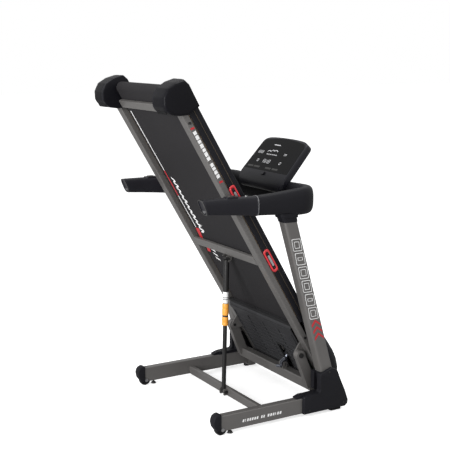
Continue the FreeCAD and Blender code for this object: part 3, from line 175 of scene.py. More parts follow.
STEEL = material("bright_steel", (0.4, 0.4, 0.41), 0.32, metallic=1.0, grain=600, bump=0.08,
                 mottle=0.08, stretch=(1, 8, 8))
CHROME = material("plated_steel", (0.34, 0.36, 0.42), 0.22, metallic=1.0, grain=500, bump=0.04,
                  mottle=0.05, rough_spread=0.04)
DARK_STEEL = material("blacked_steel", (0.02, 0.0195, 0.0195), 0.38, metallic=0.4, grain=1500, bump=0.15,
                      mottle=0.15)
CAST = material("cast_metal", (0.12, 0.12, 0.125), 0.5, metallic=0.8, grain=500, bump=0.5, mottle=0.15)
RED = material("cushion_red", (0.62, 0.035, 0.045), 0.38, grain=1500, bump=0.12, mottle=0.08, coat=0.15)
YELLOW = material("sleeve_yellow", (0.83, 0.36, 0.05), 0.42, grain=1500, bump=0.15, mottle=0.08)
WHITE = material("label_white", (0.86, 0.86, 0.86), 0.5, grain=900, bump=0.05, mottle=0.04)
PRINT_RED = material("print_red", (0.5, 0.018, 0.026), 0.45, grain=900, bump=0.05, mottle=0.08)
# Near-black for small dark details and print, and for the cushions' dark discs that are painted shade in
# place of holes.
DARK_DETAIL_AND_SHADE = material("dark_detail_and_shade", (0.016, 0.016, 0.017), 0.5, grain=900, bump=0.05, mottle=0.1)
BRONZE = material("bronze_line", (0.14, 0.11, 0.075), 0.4, metallic=0.5, grain=900, bump=0.05, mottle=0.12)
SILVER = material("silver_plate", (0.6, 0.6, 0.62), 0.3, metallic=0.8, grain=900, bump=0.05, mottle=0.08)
# Light grey for the seams' hairlines: a painted highlight along each seam.
SEAM_HIGHLIGHT = material("seam_highlight_grey", (0.3, 0.3, 0.31), 0.4, grain=900, bump=0.05, mottle=0.08)
WOOD = material("board_wood", (0.42, 0.29, 0.16), 0.5, grain=140, bump=0.2, mottle=0.3,
                mottle_scale=9, stretch=(6, 1, 1))
CIRCUIT = material("circuit_green", (0.02, 0.12, 0.05), 0.4, grain=300, bump=0.3, mottle=0.35,
                   mottle_scale=60)
GLASS = material("display_glass", (0.0035, 0.0035, 0.0042), 0.16, grain=300, bump=0.01, mottle=0.1,
                 specular=0.1, rough_spread=0.03)
GLOW = material("display_marks", (0.85, 0.85, 0.88), 0.4, grain=900, bump=0.02, mottle=0.05)
GREY_KEY = material("key_grey", (0.05, 0.049, 0.048), 0.45, grain=900, bump=0.1, mottle=0.1)


# ---- mesh helpers ------------------------------------------------------------------------------

def piece(name, verts, faces, body, surface, slot, bevel=0.0, segments=3, smooth=40):
    """A finished piece that rides on a CAD body. bevel is in mm."""
    mesh = bpy.data.meshes.new(name)
    mesh.from_pydata([tuple(v) for v in verts], [], faces)
    work = bmesh.new()
    work.from_mesh(mesh)
    bmesh.ops.remove_doubles(work, verts=work.verts, dist=1e-6)
    bmesh.ops.recalc_face_normals(work, faces=work.faces)
    work.to_mesh(mesh)
    work.free()
    mesh.materials.append(surface)
    for face in mesh.polygons:
        face.use_smooth = True
    if not bevel:
        mesh.set_sharp_from_angle(angle=math.radians(smooth))
    made = bpy.data.objects.new(name, mesh)
    bpy.context.scene.collection.objects.link(made)
    if bevel:
        edge = made.modifiers.new("edges", "BEVEL")
        edge.width = bevel / 1000
        edge.segments = segments
        edge.limit_method = "ANGLE"
        edge.angle_limit = math.radians(30)
        edge.harden_normals = True
    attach(made, body)
    return made


def loft(rings, closed=False):
    """Vertices and faces through a row of rings with the same number of points.
    closed joins the last ring to the first, otherwise both ends are capped."""
    count = len(rings[0])
    verts = [point for ring in rings for point in ring]
    faces = []
    rows = len(rings) if closed else len(rings) - 1
    for row in range(rows):
        nxt = (row + 1) % len(rings)
        for i in range(count):
            j = (i + 1) % count
            faces.append((row * count + i, row * count + j, nxt * count + j, nxt * count + i))
    if not closed:
        faces.append(tuple(range(count))[::-1])
        faces.append(tuple((len(rings) - 1) * count + i for i in range(count)))
    return verts, faces


def oval(width, height, power=3.2, count=40):
    """A rounded-rectangle outline about its centre."""
    points = []
    for i in range(count):
        a = 2 * math.pi * i / count
        c = math.cos(a)
        s = math.sin(a)
        points.append((math.copysign(abs(c) ** (2 / power), c) * width / 2,
                       math.copysign(abs(s) ** (2 / power), s) * height / 2))
    return points


def rounded(points, radius, steps=5):
    """An outline with each corner turned by a small arc. radius is one number or one per corner."""
    result = []
    count = len(points)
    for i in range(count):
        r = radius[i] if isinstance(radius, (list, tuple)) else radius
        p = Vector(points[i])
        a = Vector(points[i - 1]) - p
        b = Vector(points[(i + 1) % count]) - p
        half = math.acos(max(-1, min(1, a.normalized().dot(b.normalized())))) / 2
        reach = min(r / math.tan(half), a.length * 0.48, b.length * 0.48)
        start = p + a.normalized() * reach
        end = p + b.normalized() * reach
        for k in range(steps + 1):
            f = k / steps
            result.append(tuple(start * (1 - f) ** 2 + p * 2 * f * (1 - f) + end * f ** 2))
    return result


def scaled(points, factor, centre=None):
    """An outline shrunk or grown about a centre, by default its mean point."""
    if centre is None:
        centre = (sum(p[0] for p in points) / len(points), sum(p[1] for p in points) / len(points))
    return [(centre[0] + (p[0] - centre[0]) * factor, centre[1] + (p[1] - centre[1]) * factor)
            for p in points]


def slab(points, place, w0, w1):
    """A flat outline given thickness; place(u, v, w) puts a point in the row frame."""
    return loft([[place(u, v, w0) for u, v in points], [place(u, v, w1) for u, v in points]])


def join(parts):
    """Several (verts, faces) as one."""
    verts = []
    faces = []
    for some_verts, some_faces in parts:
        shift = len(verts)
        verts += list(some_verts)
        faces += [tuple(i + shift for i in face) for face in some_faces]
    return verts, faces


def box_part(place, u0, u1, v0, v1, w0, w1):
    return slab([(u0, v0), (u1, v0), (u1, v1), (u0, v1)], place, w0, w1)


def tube_part(start, end, radii, count=32, bore=0.0):
    """A turned piece between two points: radii is a row of (fraction of the length, radius in mm).
    With a bore it is hollow right through."""
    if bore:
        radii = list(radii) + [(1, bore), (0, bore)]
    along = (end - start).normalized()
    side = along.orthogonal().normalized()
    other = along.cross(side)
    rings = []
    for share, radius in radii:
        centre = start.lerp(end, share)
        rings.append([centre + (side * math.cos(2 * math.pi * i / count)
                                + other * math.sin(2 * math.pi * i / count)) * radius / 1000
                      for i in range(count)])
    return loft(rings, closed=bool(bore))


def ring_outline(points, width, place, w0, w1):
    """An open frame that follows an outline."""
    centre = (sum(p[0] for p in points) / len(points), sum(p[1] for p in points) / len(points))
    inner = []
    for p in points:
        d = Vector((p[0] - centre[0], p[1] - centre[1]))
        shrink = max(0.0, 1 - width * 1.3 / max(d.length, 1e-6))
        inner.append((centre[0] + d.x * shrink, centre[1] + d.y * shrink))
    count = len(points)
    verts = []
    for outline in (points, inner):
        for w in (w0, w1):
            verts += [place(u, v, w) for u, v in outline]
    faces = []
    for i in range(count):
        j = (i + 1) % count
        faces.append((i, j, count + j, count + i))
        faces.append((2 * count + i, 3 * count + i, 3 * count + j, 2 * count + j))
        faces.append((count + i, count + j, 3 * count + j, 3 * count + i))
        faces.append((i, 2 * count + i, 2 * count + j, j))
    return verts, faces


def mirror_part(part):
    verts, faces = part
    return [Vector((-v[0], v[1], v[2])) for v in verts], [tuple(reversed(f)) for f in faces]


def both(parts):
    """The parts and their mirror images as one."""
    return join(parts + [mirror_part(part) for part in parts])


def paint_node(node, surface):
    """Puts a surface on a CAD node that stays."""
    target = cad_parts[node]
    target.data.materials.clear()
    target.data.materials.append(surface)


# ---- handlebar ---------------------------------------------------------------------------------

BAR_X = 400.0
BAR_TURN = 100.0
BAR_FRONT = 520.0
ARM_END_Y = -74.0
ARM_END_Z = 1065.0
ARM_END_LEAN = 0.42
SEAM_Z = 1052.2


def bar_ring(x, y, heading, width, height, z):
    """A section of the loop. heading is the way the loop runs, in degrees from +Y towards -X."""
    a = math.radians(heading)
    across = Vector((math.cos(a), math.sin(a), 0))
    return [at(x, y, z) + across * (u / 1000) + Vector((0, 0, v / 1000))
            for u, v in oval(width, height, 3.0)]


def plug_ring(grow, back):
    """A leaning section of the plug in an arm's rear end."""
    ring = bar_ring(BAR_X, ARM_END_Y - back, 0, 54 + grow, 71 + grow, ARM_END_Z)
    return [Vector((p.x, p.y - (p.z - ARM_END_Z / 1000) * ARM_END_LEAN, p.z)) for p in ring]


def seam_ring(y, grow):
    """A section of the seam between an arm's sleeve and the loop."""
    return bar_ring(BAR_X, y, 0, 60 + grow, 90 + grow, SEAM_Z)


def build_handlebar():
    """The loop over the front, its soft sleeves, end plugs, seams and collars."""
    # One arm's soft sleeve, from its slanted rear end to the seam.
    rings = []
    for i in range(15):
        f = i / 14
        y = ARM_END_Y + 261 * f
        height = 71 + 18 * f
        z = ARM_END_Z - 13 * f + 1.5 * math.sin(math.pi * f)
        width = 54 + 6 * f - 1.8 * math.sin(math.pi * f)
        ring = bar_ring(BAR_X, y, 0, width, height, z)
        lean = (1 - f) ** 3 * ARM_END_LEAN
        ring = [Vector((p.x, p.y - (p.z - z / 1000) * lean, p.z)) for p in ring]
        rings.append(ring)
    sleeve = loft(rings)
    grips = piece("grip_sleeves", *both([sleeve]), "base", GRIP, "grip_rubber", bevel=2.0)
    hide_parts("handlebar_grips")

    # The plug in an arm's rear end: a rim and a dished face.
    steps = ((-8, -4), (-1.5, -1), (0, 2), (0, 6), (-3, 9), (-8, 9.6), (-9, 6.5), (-16, 6.0))
    plug = loft([plug_ring(grow, back) for grow, back in steps])
    plugs = piece("grip_plugs", *both([plug]), "base", PLASTIC_SMOOTH, "plastic_black", smooth=50)
    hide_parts("handlebar_end_caps")
    steps = ((-3.2, 9.1), (-1.0, 8.0), (-1.4, 9.4), (-5.4, 10.6), (-7.0, 9.9))
    rim = loft([plug_ring(grow, back) for grow, back in steps], closed=True)
    piece("grip_plug_rims", *both([rim]), "base", GREY_KEY, "plastic_black")

    # The moulded loop: arm, turn, front bar, turn, arm.
    stations = []
    for i in range(9):
        f = i / 8
        stations.append((BAR_X, 190 + 230 * f, 0, 60 + 2 * f, 90 + 34 * f ** 1.3, 1052.5 + 0.5 * f))
    for i in range(1, 13):
        a = 90 * i / 12
        x = BAR_X - BAR_TURN * (1 - math.cos(math.radians(a)))
        y = 420 + BAR_TURN * math.sin(math.radians(a))
        stations.append((x, y, a, 62, 124 + 2 * math.sin(math.radians(a * 2)), 1053))
    for i in range(1, 8):
        f = i / 7
        stations.append((300 - 300 * f, BAR_FRONT, 90, 62 - 2 * f, 124 - 12 * f, 1053 - 2 * f))
    rings = [bar_ring(*station) for station in stations]
    other = []
    for x, y, a, width, height, z in reversed(stations[:-1]):
        other.append(bar_ring(-x, y, 180 - a, width, height, z))
    loop = piece("handlebar_loop", *loft(rings + other), "base", PLASTIC, "plastic_black", bevel=1.5)
    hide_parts("handlebar_shell")

    # The seam ring between sleeve and loop, with a bright grey hairline that is a painted highlight.
    steps = ((184, -2), (185, 1.6), (187, 2.6), (191, 2.6), (193, 1.6), (194, -2))
    seam = loft([seam_ring(y, grow) for y, grow in steps])
    piece("grip_seams", *both([seam]), "base", PLASTIC_SMOOTH, "plastic_gloss", smooth=60)
    # A thin grey ring standing a little proud of the seam, as a painted highlight.
    steps = ((187.8, 1), (188.1, 3.0), (189.9, 3.0), (190.2, 1))
    hair = loft([seam_ring(y, grow) for y, grow in steps])
    piece("grip_seam_highlights", *both([hair]), "base", SEAM_HIGHLIGHT, "steel", smooth=60)

    # The collar that the upright goes into, flared towards the loop.
    collar = []
    for z, grow in ((960, -2), (961, 5), (964, 6), (981, 8), (983, 15), (988, 17), (1004, 18)):
        outline = oval(58 + grow, 72 + grow * 1.5, 4.5)
        collar.append([at(UPRIGHT_X + u, upright_y(z) + v, z) for u, v in outline])
    part = loft(collar)
    collars = piece("collars", *both([part]), "base", PLASTIC, "plastic_black", smooth=35)
    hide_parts("upright_collars")


# ---- console -----------------------------------------------------------------------------------

def console_skin(u, v, w):
    """Like console_at, but below the bend v runs on down the apron, measured along the surface."""
    turn = math.pi / 2 - CONSOLE_TILT
    reach = CONSOLE_BEND * math.tan(turn / 2)
    if v >= reach:
        return console_at(u, v, w)
    centre_y = CONSOLE_Y + CONSOLE_BEND
    centre_z = CONSOLE_Z - reach
    down = (reach - v) / CONSOLE_BEND
    if down <= turn:
        angle = math.pi - turn + down
        radius = CONSOLE_BEND + w
        return at(u, centre_y + radius * math.cos(angle), centre_z + radius * math.sin(angle))
    rest = CONSOLE_BEND * (down - turn)
    return at(u, CONSOLE_Y - w, centre_z - rest)


def build_console():
    # Rows up the body: distance along the face, half width, front sink and back depth.
    rows = [(-49.5, 150, 9, 20), (-49.2, 163, 6, 22), (-47.5, 172, 3, 23), (-44, 180, 1, 24),
            (-38, 188, 0, 25), (-28, 195, 0, 25.3), (-16, 199, 0, 26), (-8, 201, 0, 27),
            (0, 203, 0, 28.5), (10, 204.4, 0, 30.5), (22, 204.6, 0, 33), (32, 204.3, 0, 35),
            (44, 204.0, 0, 35.8), (120, 199.5, 0, 35.8), (200, 195.2, 0, 35.8), (218, 193.8, 0, 35.8),
            (228, 190.5, 0, 35.7), (236, 184, 0.1, 35.5), (242, 174, 0.3, 35), (247, 160, 0.6, 34.5),
            (250.5, 140, 1.0, 34), (253.2, 112, 1.6, 33), (255.3, 78, 2.5, 31.5),
            (256.8, 42, 3.5, 29.5), (257.4, 14, 5, 27)]
    rings = []
    for v, half, front, back in rows:
        outline = rounded([(-half, -back), (half, -back), (half, -front), (-half, -front)], 5.5, 5)
        rings.append([console_skin(u, v, w) for u, w in outline])
    housing = piece("console_body", *loft(rings), "base", PLASTIC_SMOOTH, "plastic_gloss", smooth=34)
    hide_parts("console_housing")

    glass_outline = rounded([(-194, 48), (194, 48), (184, 214), (168, 233), (90, 245), (0, 250),
                             (-90, 245), (-168, 232), (-184, 214)], [5, 5, 16, 20, 120, 200, 120, 20, 16], 6)
    glass = piece("console_screen", *slab(glass_outline, console_at, -1.2, GLASS_TOP), "base", GLASS,
                  "glass", bevel=0.3)
    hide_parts("display_glass")

    # Generic display marks: a title bar, a block of dots, a wave over a row of bars, icons and digits.
    marks = []

    def mark(u0, u1, v0, v1):
        marks.append(box_part(console_at, u0, u1, v0, v1, GLASS_TOP, MARK_TOP))

    mark(-70, -16, 204, 209.5)
    for row in range(4):
        for column in range(4):
            mark(-164 + 12 * column, -155 + 12 * column, 146 + row * 4.6, 148.4 + row * 4.6)
    wave = ((-90, 160), (-76, 166), (-62, 162), (-48, 172), (-34, 167), (-18, 173), (-2, 165))
    for (u0, v0), (u1, v1) in zip(wave, wave[1:]):
        line = [(u0, v0), (u1, v1), (u1, v1 + 5), (u0, v0 + 5)]
        marks.append(slab(line, console_at, GLASS_TOP, MARK_TOP))
    for u in (-84, -68, -52, -36, -20, -4):
        mark(u, u + 12, 144, 148.5)
    for u in (66, 74, 82):
        mark(u, u + 3, 150, 163)
    for u in (-120, 80):
        icon = [(u + a, 103 + b) for a, b in oval(17, 17, 2, 20)]
        marks.append(ring_outline(icon, 2.2, console_at, GLASS_TOP, MARK_TOP))
    for index, lit in enumerate((0b1110111, 0b0110110, 0b1111111)):
        digit(marks, -70 + 22 * index, 91, lit)
    piece("console_marks", *join(marks), "base", GLOW, "plastic_gloss")


def digit(marks, u, v, lit):
    """A small seven-bar figure."""
    bars = ((1, 26, 13, 29), (12, 15, 15, 28), (12, 1, 15, 14), (1, 0, 13, 3), (-1, 1, 2, 14),
            (-1, 15, 2, 28), (1, 13, 13, 16))
    for index, (u0, v0, u1, v1) in enumerate(bars):
        if lit >> index & 1:
            marks.append(box_part(console_at, u + u0, u + u1, v + v0 * 0.8, v + v1 * 0.8,
                                  GLASS_TOP, MARK_TOP))


# ---- deck --------------------------------------------------------------------------------------

def build_end_caps():
    """The moulded rear corners: a side profile that shrinks and sinks towards its outer face."""
    profile = rounded([(1424, 92), (1420, 18), (1440, -22), (1466, -55), (1494, -66.5), (1516, -66.5),
                       (1550, -48), (1573, -12), (1573.5, 36), (1562, 84), (1532, 94.5)],
                      [4, 12, 30, 30, 30, 30, 26, 14, 24, 12, 20], 5)
    centre = (1500, 14)
    rings = []
    for x, size in ((263, 0.92), (264, 0.965), (266, 0.99), (270, 1.0), (300, 1.0), (330, 1.0), (350, 0.995),
                    (362, 0.985), (368, 0.97), (372, 0.94), (373.7, 0.9), (373.9, 0.8)):
        drop = max(0.0, (x - 330) / 44) ** 2 * 8
        ring = []
        for s, t in scaled(profile, size, centre):
            sink = drop * max(0.0, min(1.0, (t - 20) / 60))
            ring.append(deck_at(x, s, t - sink))
        rings.append(ring)
    cap = loft(rings)
    caps = piece("rear_corners", *both([cap]), "deck", PLASTIC_DEEP, "plastic_black", smooth=38)
    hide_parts("rear_end_caps")
    # Ridges round each corner's inner lip.
    lips = []
    for x in (264.5, 270.5, 276.5):
        lip = loft([[deck_at(x + dx, s, t) for s, t in scaled(profile, size, centre)]
                    for dx, size in ((0, 0.975), (0.6, 1.004), (2.6, 1.004), (3.2, 0.975))])
        lips.append(lip)
    piece("rear_corner_ridges", *both(lips), "deck", PLASTIC_SMOOTH, "plastic_gloss", smooth=50)
    # The sole under each lower lobe, with tread bars.
    bars = []
    for index in range(7):
        x = 276 + 12 * index
        bars.append(box_part(deck_at, x, x + 6, 1474, 1508, -66.9, -62))
    piece("rear_soles", *both(bars), "deck", RUBBER, "rubber_black", bevel=0.8)


def build_foot_rails():
    """Tread plate, lip and skirt in one profile, with a groove and a bronze line along the skirt."""
    profile = [(264, 76), (265, 84), (270, 88), (334, 88), (342, 86), (346.5, 80), (346.8, 63), (345.2, 61.5),
               (345.2, 56.5), (346.8, 55), (346.8, 33), (345, 31), (342, 31), (342, 78), (336, 83),
               (273, 83), (270, 76)]
    rings = [[deck_at(x, s, t) for x, t in profile] for s in (236, 236.8, 800, 1443.2, 1444)]
    rail = loft(rings)
    skirt = piece("foot_rail_skins", *both([rail]), "deck", PLASTIC, "plastic_black", bevel=0.7)
    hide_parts("foot_rails")
    line = box_part(deck_side, 238, 1440, 58.2, 59.8, 344.6, 346.0)
    piece("skirt_lines", *both([line]), "deck", BRONZE, "steel", bevel=0.3)
    beads = []
    for t in (38.0, 70.5):
        beads.append(box_part(deck_side, 238, 1440, t, t + 1.6, 346.0, 347.0))
    piece("skirt_beads", *both(beads), "deck", PLASTIC_SMOOTH, "plastic_gloss", bevel=0.4, segments=2)
    ribs = []
    for index in range(9):
        x = 279 + 6.4 * index
        ribs.append(box_part(deck_at, x, x + 3, 262, 1420, 87.6, 88.9))
    piece("foot_rail_treads", *both(ribs), "deck", RUBBER, "rubber_black", bevel=0.4, segments=2)


def build_cushions():
    """Red oval mounts with a moulded rim, a silver plate and two dark discs, painted shade in place of two
    holes.
    """
    reds = []
    plates = []
    hole_shades = []
    for s in (603.0, 965.0):
        def place(u, v, w, s=s):
            return deck_at(w, s + u, v)
        outer = rounded([(-63, 31), (63, 31), (63, 62.5), (-63, 62.5)], 15.5, 8)
        centre = 46.75
        stack = [(322, 0.98), (343, 1.0), (347.2, 1.0), (349.0, 0.97), (349.5, 0.93), (349.3, 0.84),
                 (347.2, 0.80), (346.6, 0.76)]
        rings = []
        for x, size in stack:
            ring = []
            for u, v in outer:
                squeeze = 1 - (1 - size) * 2.0
                ring.append(place(u * size, centre + (v - centre) * squeeze, x))
            rings.append(ring)
        reds.append(loft(rings))
        inner = rounded([(-30, 41.5), (30, 41.5), (30, 52), (-30, 52)], 4.5, 6)
        plates.append(slab(inner, place, 346.0, 348.3))
        # Each hole is a flat dark disc just proud of the face: painted shade of the hole's inside.
        for u in (-42, 42):
            ring_points = [(u + a, centre + b) for a, b in oval(9, 9, 2, 20)]
            hole_shades.append(slab(ring_points, place, 346.0, 347.4))
    for parts, name, surface, slot in ((reds, "cushion_mounts", RED, "cushion_red"),
                                       (plates, "cushion_plates", SILVER, "aluminium"),
                                       (hole_shades, "cushion_hole_shades", DARK_DETAIL_AND_SHADE, "rubber_black")):
        made = piece(name, *both(parts), "deck", surface, slot, smooth=45)
        if name == "cushion_mounts":
            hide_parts("cushion_housings")


def build_hood():
    """The motor cover: a crowned shell with soft shoulders."""
    profile = [(258, 90), (240, 98), (178, 123), (98, 141), (5, 149.5), (-40, 152), (-84, 147),
               (-122, 133), (-156, 109), (-178, 76), (-188, 44), (-189.5, 32)]
    half = 341.0
    base = 31.0
    nose_s = -120.0
    rings = []
    for s, t in profile:
        # The nose is rounded in plan: towards its sides it draws back.
        nose = 7.0 * max(0.0, min(1.0, (nose_s - s) / 40))
        ring = []
        for i in range(41):
            f = -1 + 2 * i / 40
            x = half * math.copysign(abs(math.sin(f * math.pi / 2)) ** 0.55, f)
            edge = (1 - min(1.0, abs(x) / (half + 0.2)) ** 9) ** (1 / 3.2)
            crown = t - 5.0 * (x / half) ** 2
            ring.append(deck_at(x, s + nose * (x / half) ** 2, base + (crown - base) * edge))
        rings.append(ring)
    count = len(rings[0])
    verts = [p for ring in rings for p in ring]
    faces = []
    for row in range(len(rings) - 1):
        for i in range(count - 1):
            a = row * count + i
            faces.append((a, a + 1, a + count + 1, a + count))
    hood = piece("motor_cover", verts, faces, "deck", PLASTIC, "plastic_black", smooth=55)
    thick = hood.modifiers.new("wall", "SOLIDIFY")
    thick.thickness = 0.0035
    thick.offset = -1
    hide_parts("motor_hood")
    # Cooling slots across the hood's top, towards the belt.
    slots = []
    for index in range(7):
        s = 150 - 11 * index
        top = 123 + (178 - s) * 0.225
        slots.append(box_part(deck_at, -90, 90, s, s + 4, top - 3, top + 2.6))
    piece("hood_slots", *join(slots), "deck", DARK_DETAIL_AND_SHADE, "plastic_black", bevel=0.8)


def build_tray():
    """The belly pan: a thin shell with ribs both ways, a rubber band and a rimmed actuator slot."""
    outline = [(233, 13), (207, -8), (40, -8), (-120, -8), (-140, -8), (-147, -1), (-147, 8), (-143, 8),
               (-143, 0), (-138, -4.5), (-120, -4.5), (40, -4.5), (205, -4.5), (230, 16)]
    verts, faces = loft([[deck_at(x, s, t) for s, t in outline] for x in (-287, 51, 105, 287)])
    # The actuator's slot: two faces of the middle strip go, four walls come.
    count = len(outline)
    faces = [face for index, face in enumerate(faces) if index not in (count + 2, count + 10)]
    for column in (count, 2 * count):
        faces.append(tuple(column + i for i in (2, 3, 10, 11)))
    for low, high in ((2, 11), (3, 10)):
        faces.append((count + low, 2 * count + low, 2 * count + high, count + high))
    parts = [(verts, faces)]
    for index in range(11):
        s = -126 + 26 * index
        for x0, x1 in ((-262, 46), (110, 262)) if s < 45 else ((-262, 262),):
            parts.append(box_part(deck_at, x0, x1, s, s + 7, -11.6, -6))
    for x in (-274, -140, 0, 140, 262):
        parts.append(box_part(deck_at, x, x + 10, -132, 168, -11.8, -6))
    parts.append(box_part(deck_at, -285, 285, 184, 203, -11.8, -6))
    pan = piece("belly_pan", *join(parts), "deck", TRAY, "plastic_black", bevel=1.5, segments=2)
    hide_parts("belly_tray")
    band = box_part(deck_at, -288, 288, 208, 232, 0, 17.2)
    piece("belly_band", *band, "deck", RUBBER, "rubber_black", bevel=1.5)
    rim = []
    for x0, x1, s0, s1 in ((45, 51, -126, 46), (105, 111, -126, 46), (51, 105, -126, -120),
                           (51, 105, 40, 46)):
        rim.append(box_part(deck_at, x0, x1, s0, s1, -12.4, -8))
    piece("actuator_well", *join(rim), "deck", DARK_DETAIL_AND_SHADE, "plastic_black")


def belt_loop(x, radius):
    """The belt's outline round both rollers, at one distance across."""
    ring = []
    for roller_s, start in ((FRONT_ROLLER_S, math.pi / 2), (REAR_ROLLER_S, -math.pi / 2)):
        for i in range(25):
            a = start + math.pi * i / 24
            ring.append(deck_at(x, roller_s + radius * math.cos(a), ROLLER_T + radius * math.sin(a)))
    return ring


def build_belt():
    """The belt as a closed band, its back showing under the deck."""
    sections = ((-259.5, 26.6), (-258.5, 27.2), (258.5, 27.2), (259.5, 26.6), (259.5, 25.4), (-259.5, 25.4))
    rings = [belt_loop(x, radius) for x, radius in sections]
    band = piece("belt_band", *loft(rings, closed=True), "deck", BELT, "belt", smooth=30)
    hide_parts("running_belt")

    # Generic print on the belt's back: a stripe, slanted bars and dashes.
    pale = []
    red = []

    def place(u, v, w):
        return deck_at(u, v, BELT_BACK_T - w)

    def pale_shape(points, lift=0.0):
        # Shapes that cross each other differ by a hair in thickness.
        pale.append(slab(points, place, 0, PRINT_THICK - lift))

    for s0, s1 in ((1055, 1403), (704, 902)):
        pale.append(box_part(place, -238, -231, s0, s1, 0, PRINT_THICK))
    red.append(box_part(place, -240, -230, 902, 1055, 0, PRINT_THICK))
    # A column of arrow heads that point across the belt, in pairs of slanted bars.
    for index in range(11):
        s = 1022 - 31 * index
        tip = -198 + 26 + 7 * (index % 3 == 1)
        pale_shape([(-198, s), (tip, s - 16), (tip, s - 27), (-198, s - 11)])
        pale_shape([(tip, s - 16), (-198, s - 28), (-198, s - 36), (tip, s - 27)], 0.01)
        if index > 8:
            pale_shape([(-196, s - 2), (-158, s - 12), (-158, s - 19), (-196, s - 9)], 0.02)
    for s in (580, 552, 524):
        pale_shape([(-196, s), (-160, s - 12), (-160, s - 22), (-196, s - 10)])
    for s0, s1 in ((699, 636), (574, 546)):
        tail = [(-244, s0), (-208, s0 + 4), (-224, s1), (-252, s1 + 3)]
        red.append(slab(tail, place, 0, PRINT_THICK))
    piece("belt_print_pale", *join(pale), "deck", WHITE, "key_grey")
    piece("belt_print_red", *join(red), "deck", PRINT_RED, "key_red")


def build_graphics():
    """Generic shapes in place of the printed names: blocks, outlined shapes and bars."""
    # Deck side tube, outer face.
    deck_pale = []
    deck_red = []

    def side(u, v, w):
        return deck_at(DECK_HALF + w, u, v)

    s = 1338.0
    for width in (17, 20, 15, 20, 15, 20, 17, 0, 17, 13, 17, 17):
        if width:
            deck_pale.append(box_part(side, s, s - width, 7, 23, 0, PRINT_THICK))
        s -= max(width, 8) + 4.5
    for s in (1360, 1078):
        deck_red.append(slab([(s, 6), (s - 10, 6), (s - 14, 24), (s - 4, 24)], side, 0, PRINT_THICK))
    piece("print_pale_deck", *join(deck_pale), "deck", WHITE, "key_grey")
    piece("print_red_deck", *join(deck_red), "deck", PRINT_RED, "key_red")

    # Floor rail, outer face: a row of slanted blocks.
    rail_pale = []

    def rail(u, v, w):
        return at(RAIL_FACE_X + w, u, v)

    y = 116.0
    for width in (8, 3, 8, 8, 8, 8, 8, 0, 7, 7, 0, 10, 9, 8, 3, 9, 9):
        if width:
            block = [(y, 45), (y + width, 45), (y + width + 3, 58), (y + 3, 58)]
            rail_pale.append(slab(block, rail, 0, PRINT_THICK))
        y += max(width, 6) + 5.2
    piece("print_pale_rail", *join(rail_pale), "base", WHITE, "key_grey")

    # Upright, outer face: a column of outlined shapes, then three red arrow heads.
    post_pale = []
    post_red = []

    def post(u, v, w):
        z = 560 + v
        return at(RAIL_FACE_X + w, upright_y(z) + u, z)

    for index in range(6):
        v = 292 - 68 * index
        shape = rounded([(-27, v - 30), (23, v - 30), (27, v + 29), (-23, v + 29)], 7, 4)
        post_pale.append(ring_outline(shape, 2.6, post, 0, PRINT_THICK))
        inner = scaled(shape, 0.56)
        if index % 3 == 1:
            inner = [(u, v + (height - v) * 0.45) for u, height in inner]
        post_pale.append(ring_outline(inner, 2.2, post, 0, PRINT_THICK))
    for index in range(3):
        v = -100 - 33 * index
        left = [(-26, v - 20), (1, v + 6), (1, v + 19), (-26, v - 7)]
        right = [(1, v + 6), (27, v - 17), (27, v - 4), (1, v + 19)]
        post_red.append(slab(left, post, 0, PRINT_THICK))
        post_red.append(slab(right, post, 0, PRINT_THICK - 0.01))
    piece("print_pale_post", *join(post_pale), "base", WHITE, "key_grey")
    piece("print_red_post", *join(post_red), "base", PRINT_RED, "key_red")


# ---- gas spring --------------------------------------------------------------------------------

def build_spring():
    """The locking sleeve and the labels on the gas spring's upper tube."""
    low = at(0, 259, 42)
    top = deck_at(0, 578, -8)
    length = (top - low).length * 1000
    line = (top - low).normalized()

    def along(distance):
        return low + line * (distance / 1000)

    def turned(start, end, radii):
        return tube_part(along(start), along(end), radii, bore=SPRING_BORE)

    start = length - SPRING_BODY_LENGTH - 8
    lower = turned(start, start + 44,
                   [(0, 13.5), (0.02, 16.0), (0.08, 16.5), (0.3, 16.5), (0.34, 15.6), (0.4, 15.6),
                    (0.44, 16.5), (0.9, 16.5), (0.98, 15.8), (1, 14.4)])
    upper = turned(start + 52, start + 112,
                   [(0, 14.4), (0.02, 15.8), (0.08, 16.5), (0.5, 16.5), (0.54, 15.8), (0.6, 15.8),
                    (0.64, 16.5), (0.93, 16.5), (1, 14.6)])
    sleeves = piece("lock_sleeve", *join([lower, upper]), "spring_upper", YELLOW, "sleeve_yellow", smooth=50)
    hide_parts("spring_sleeve")
    piece("lock_band", *turned(start + 44, start + 52, [(0, 14.2), (0.1, 15.2), (0.9, 15.2), (1, 14.2)]),
          "spring_upper", DARK_DETAIL_AND_SHADE, "rubber_black", smooth=50)
    label = turned(start + 114, start + 172, [(0, 13.9), (0.01, 14.25), (0.99, 14.25), (1, 13.9)])
    piece("spring_label", *label, "spring_upper", WHITE, "key_grey", smooth=50)
    marks = []
    for a, b in ((132, 136), (141, 145)):
        marks.append(turned(start + a, start + b, [(0, 14.1), (0.1, 14.4), (0.9, 14.4), (1, 14.1)]))
    piece("spring_label_bars", *join(marks), "spring_upper", DARK_DETAIL_AND_SHADE, "rubber_black", smooth=50)


# ---- boots, wheels and small parts -------------------------------------------------------------

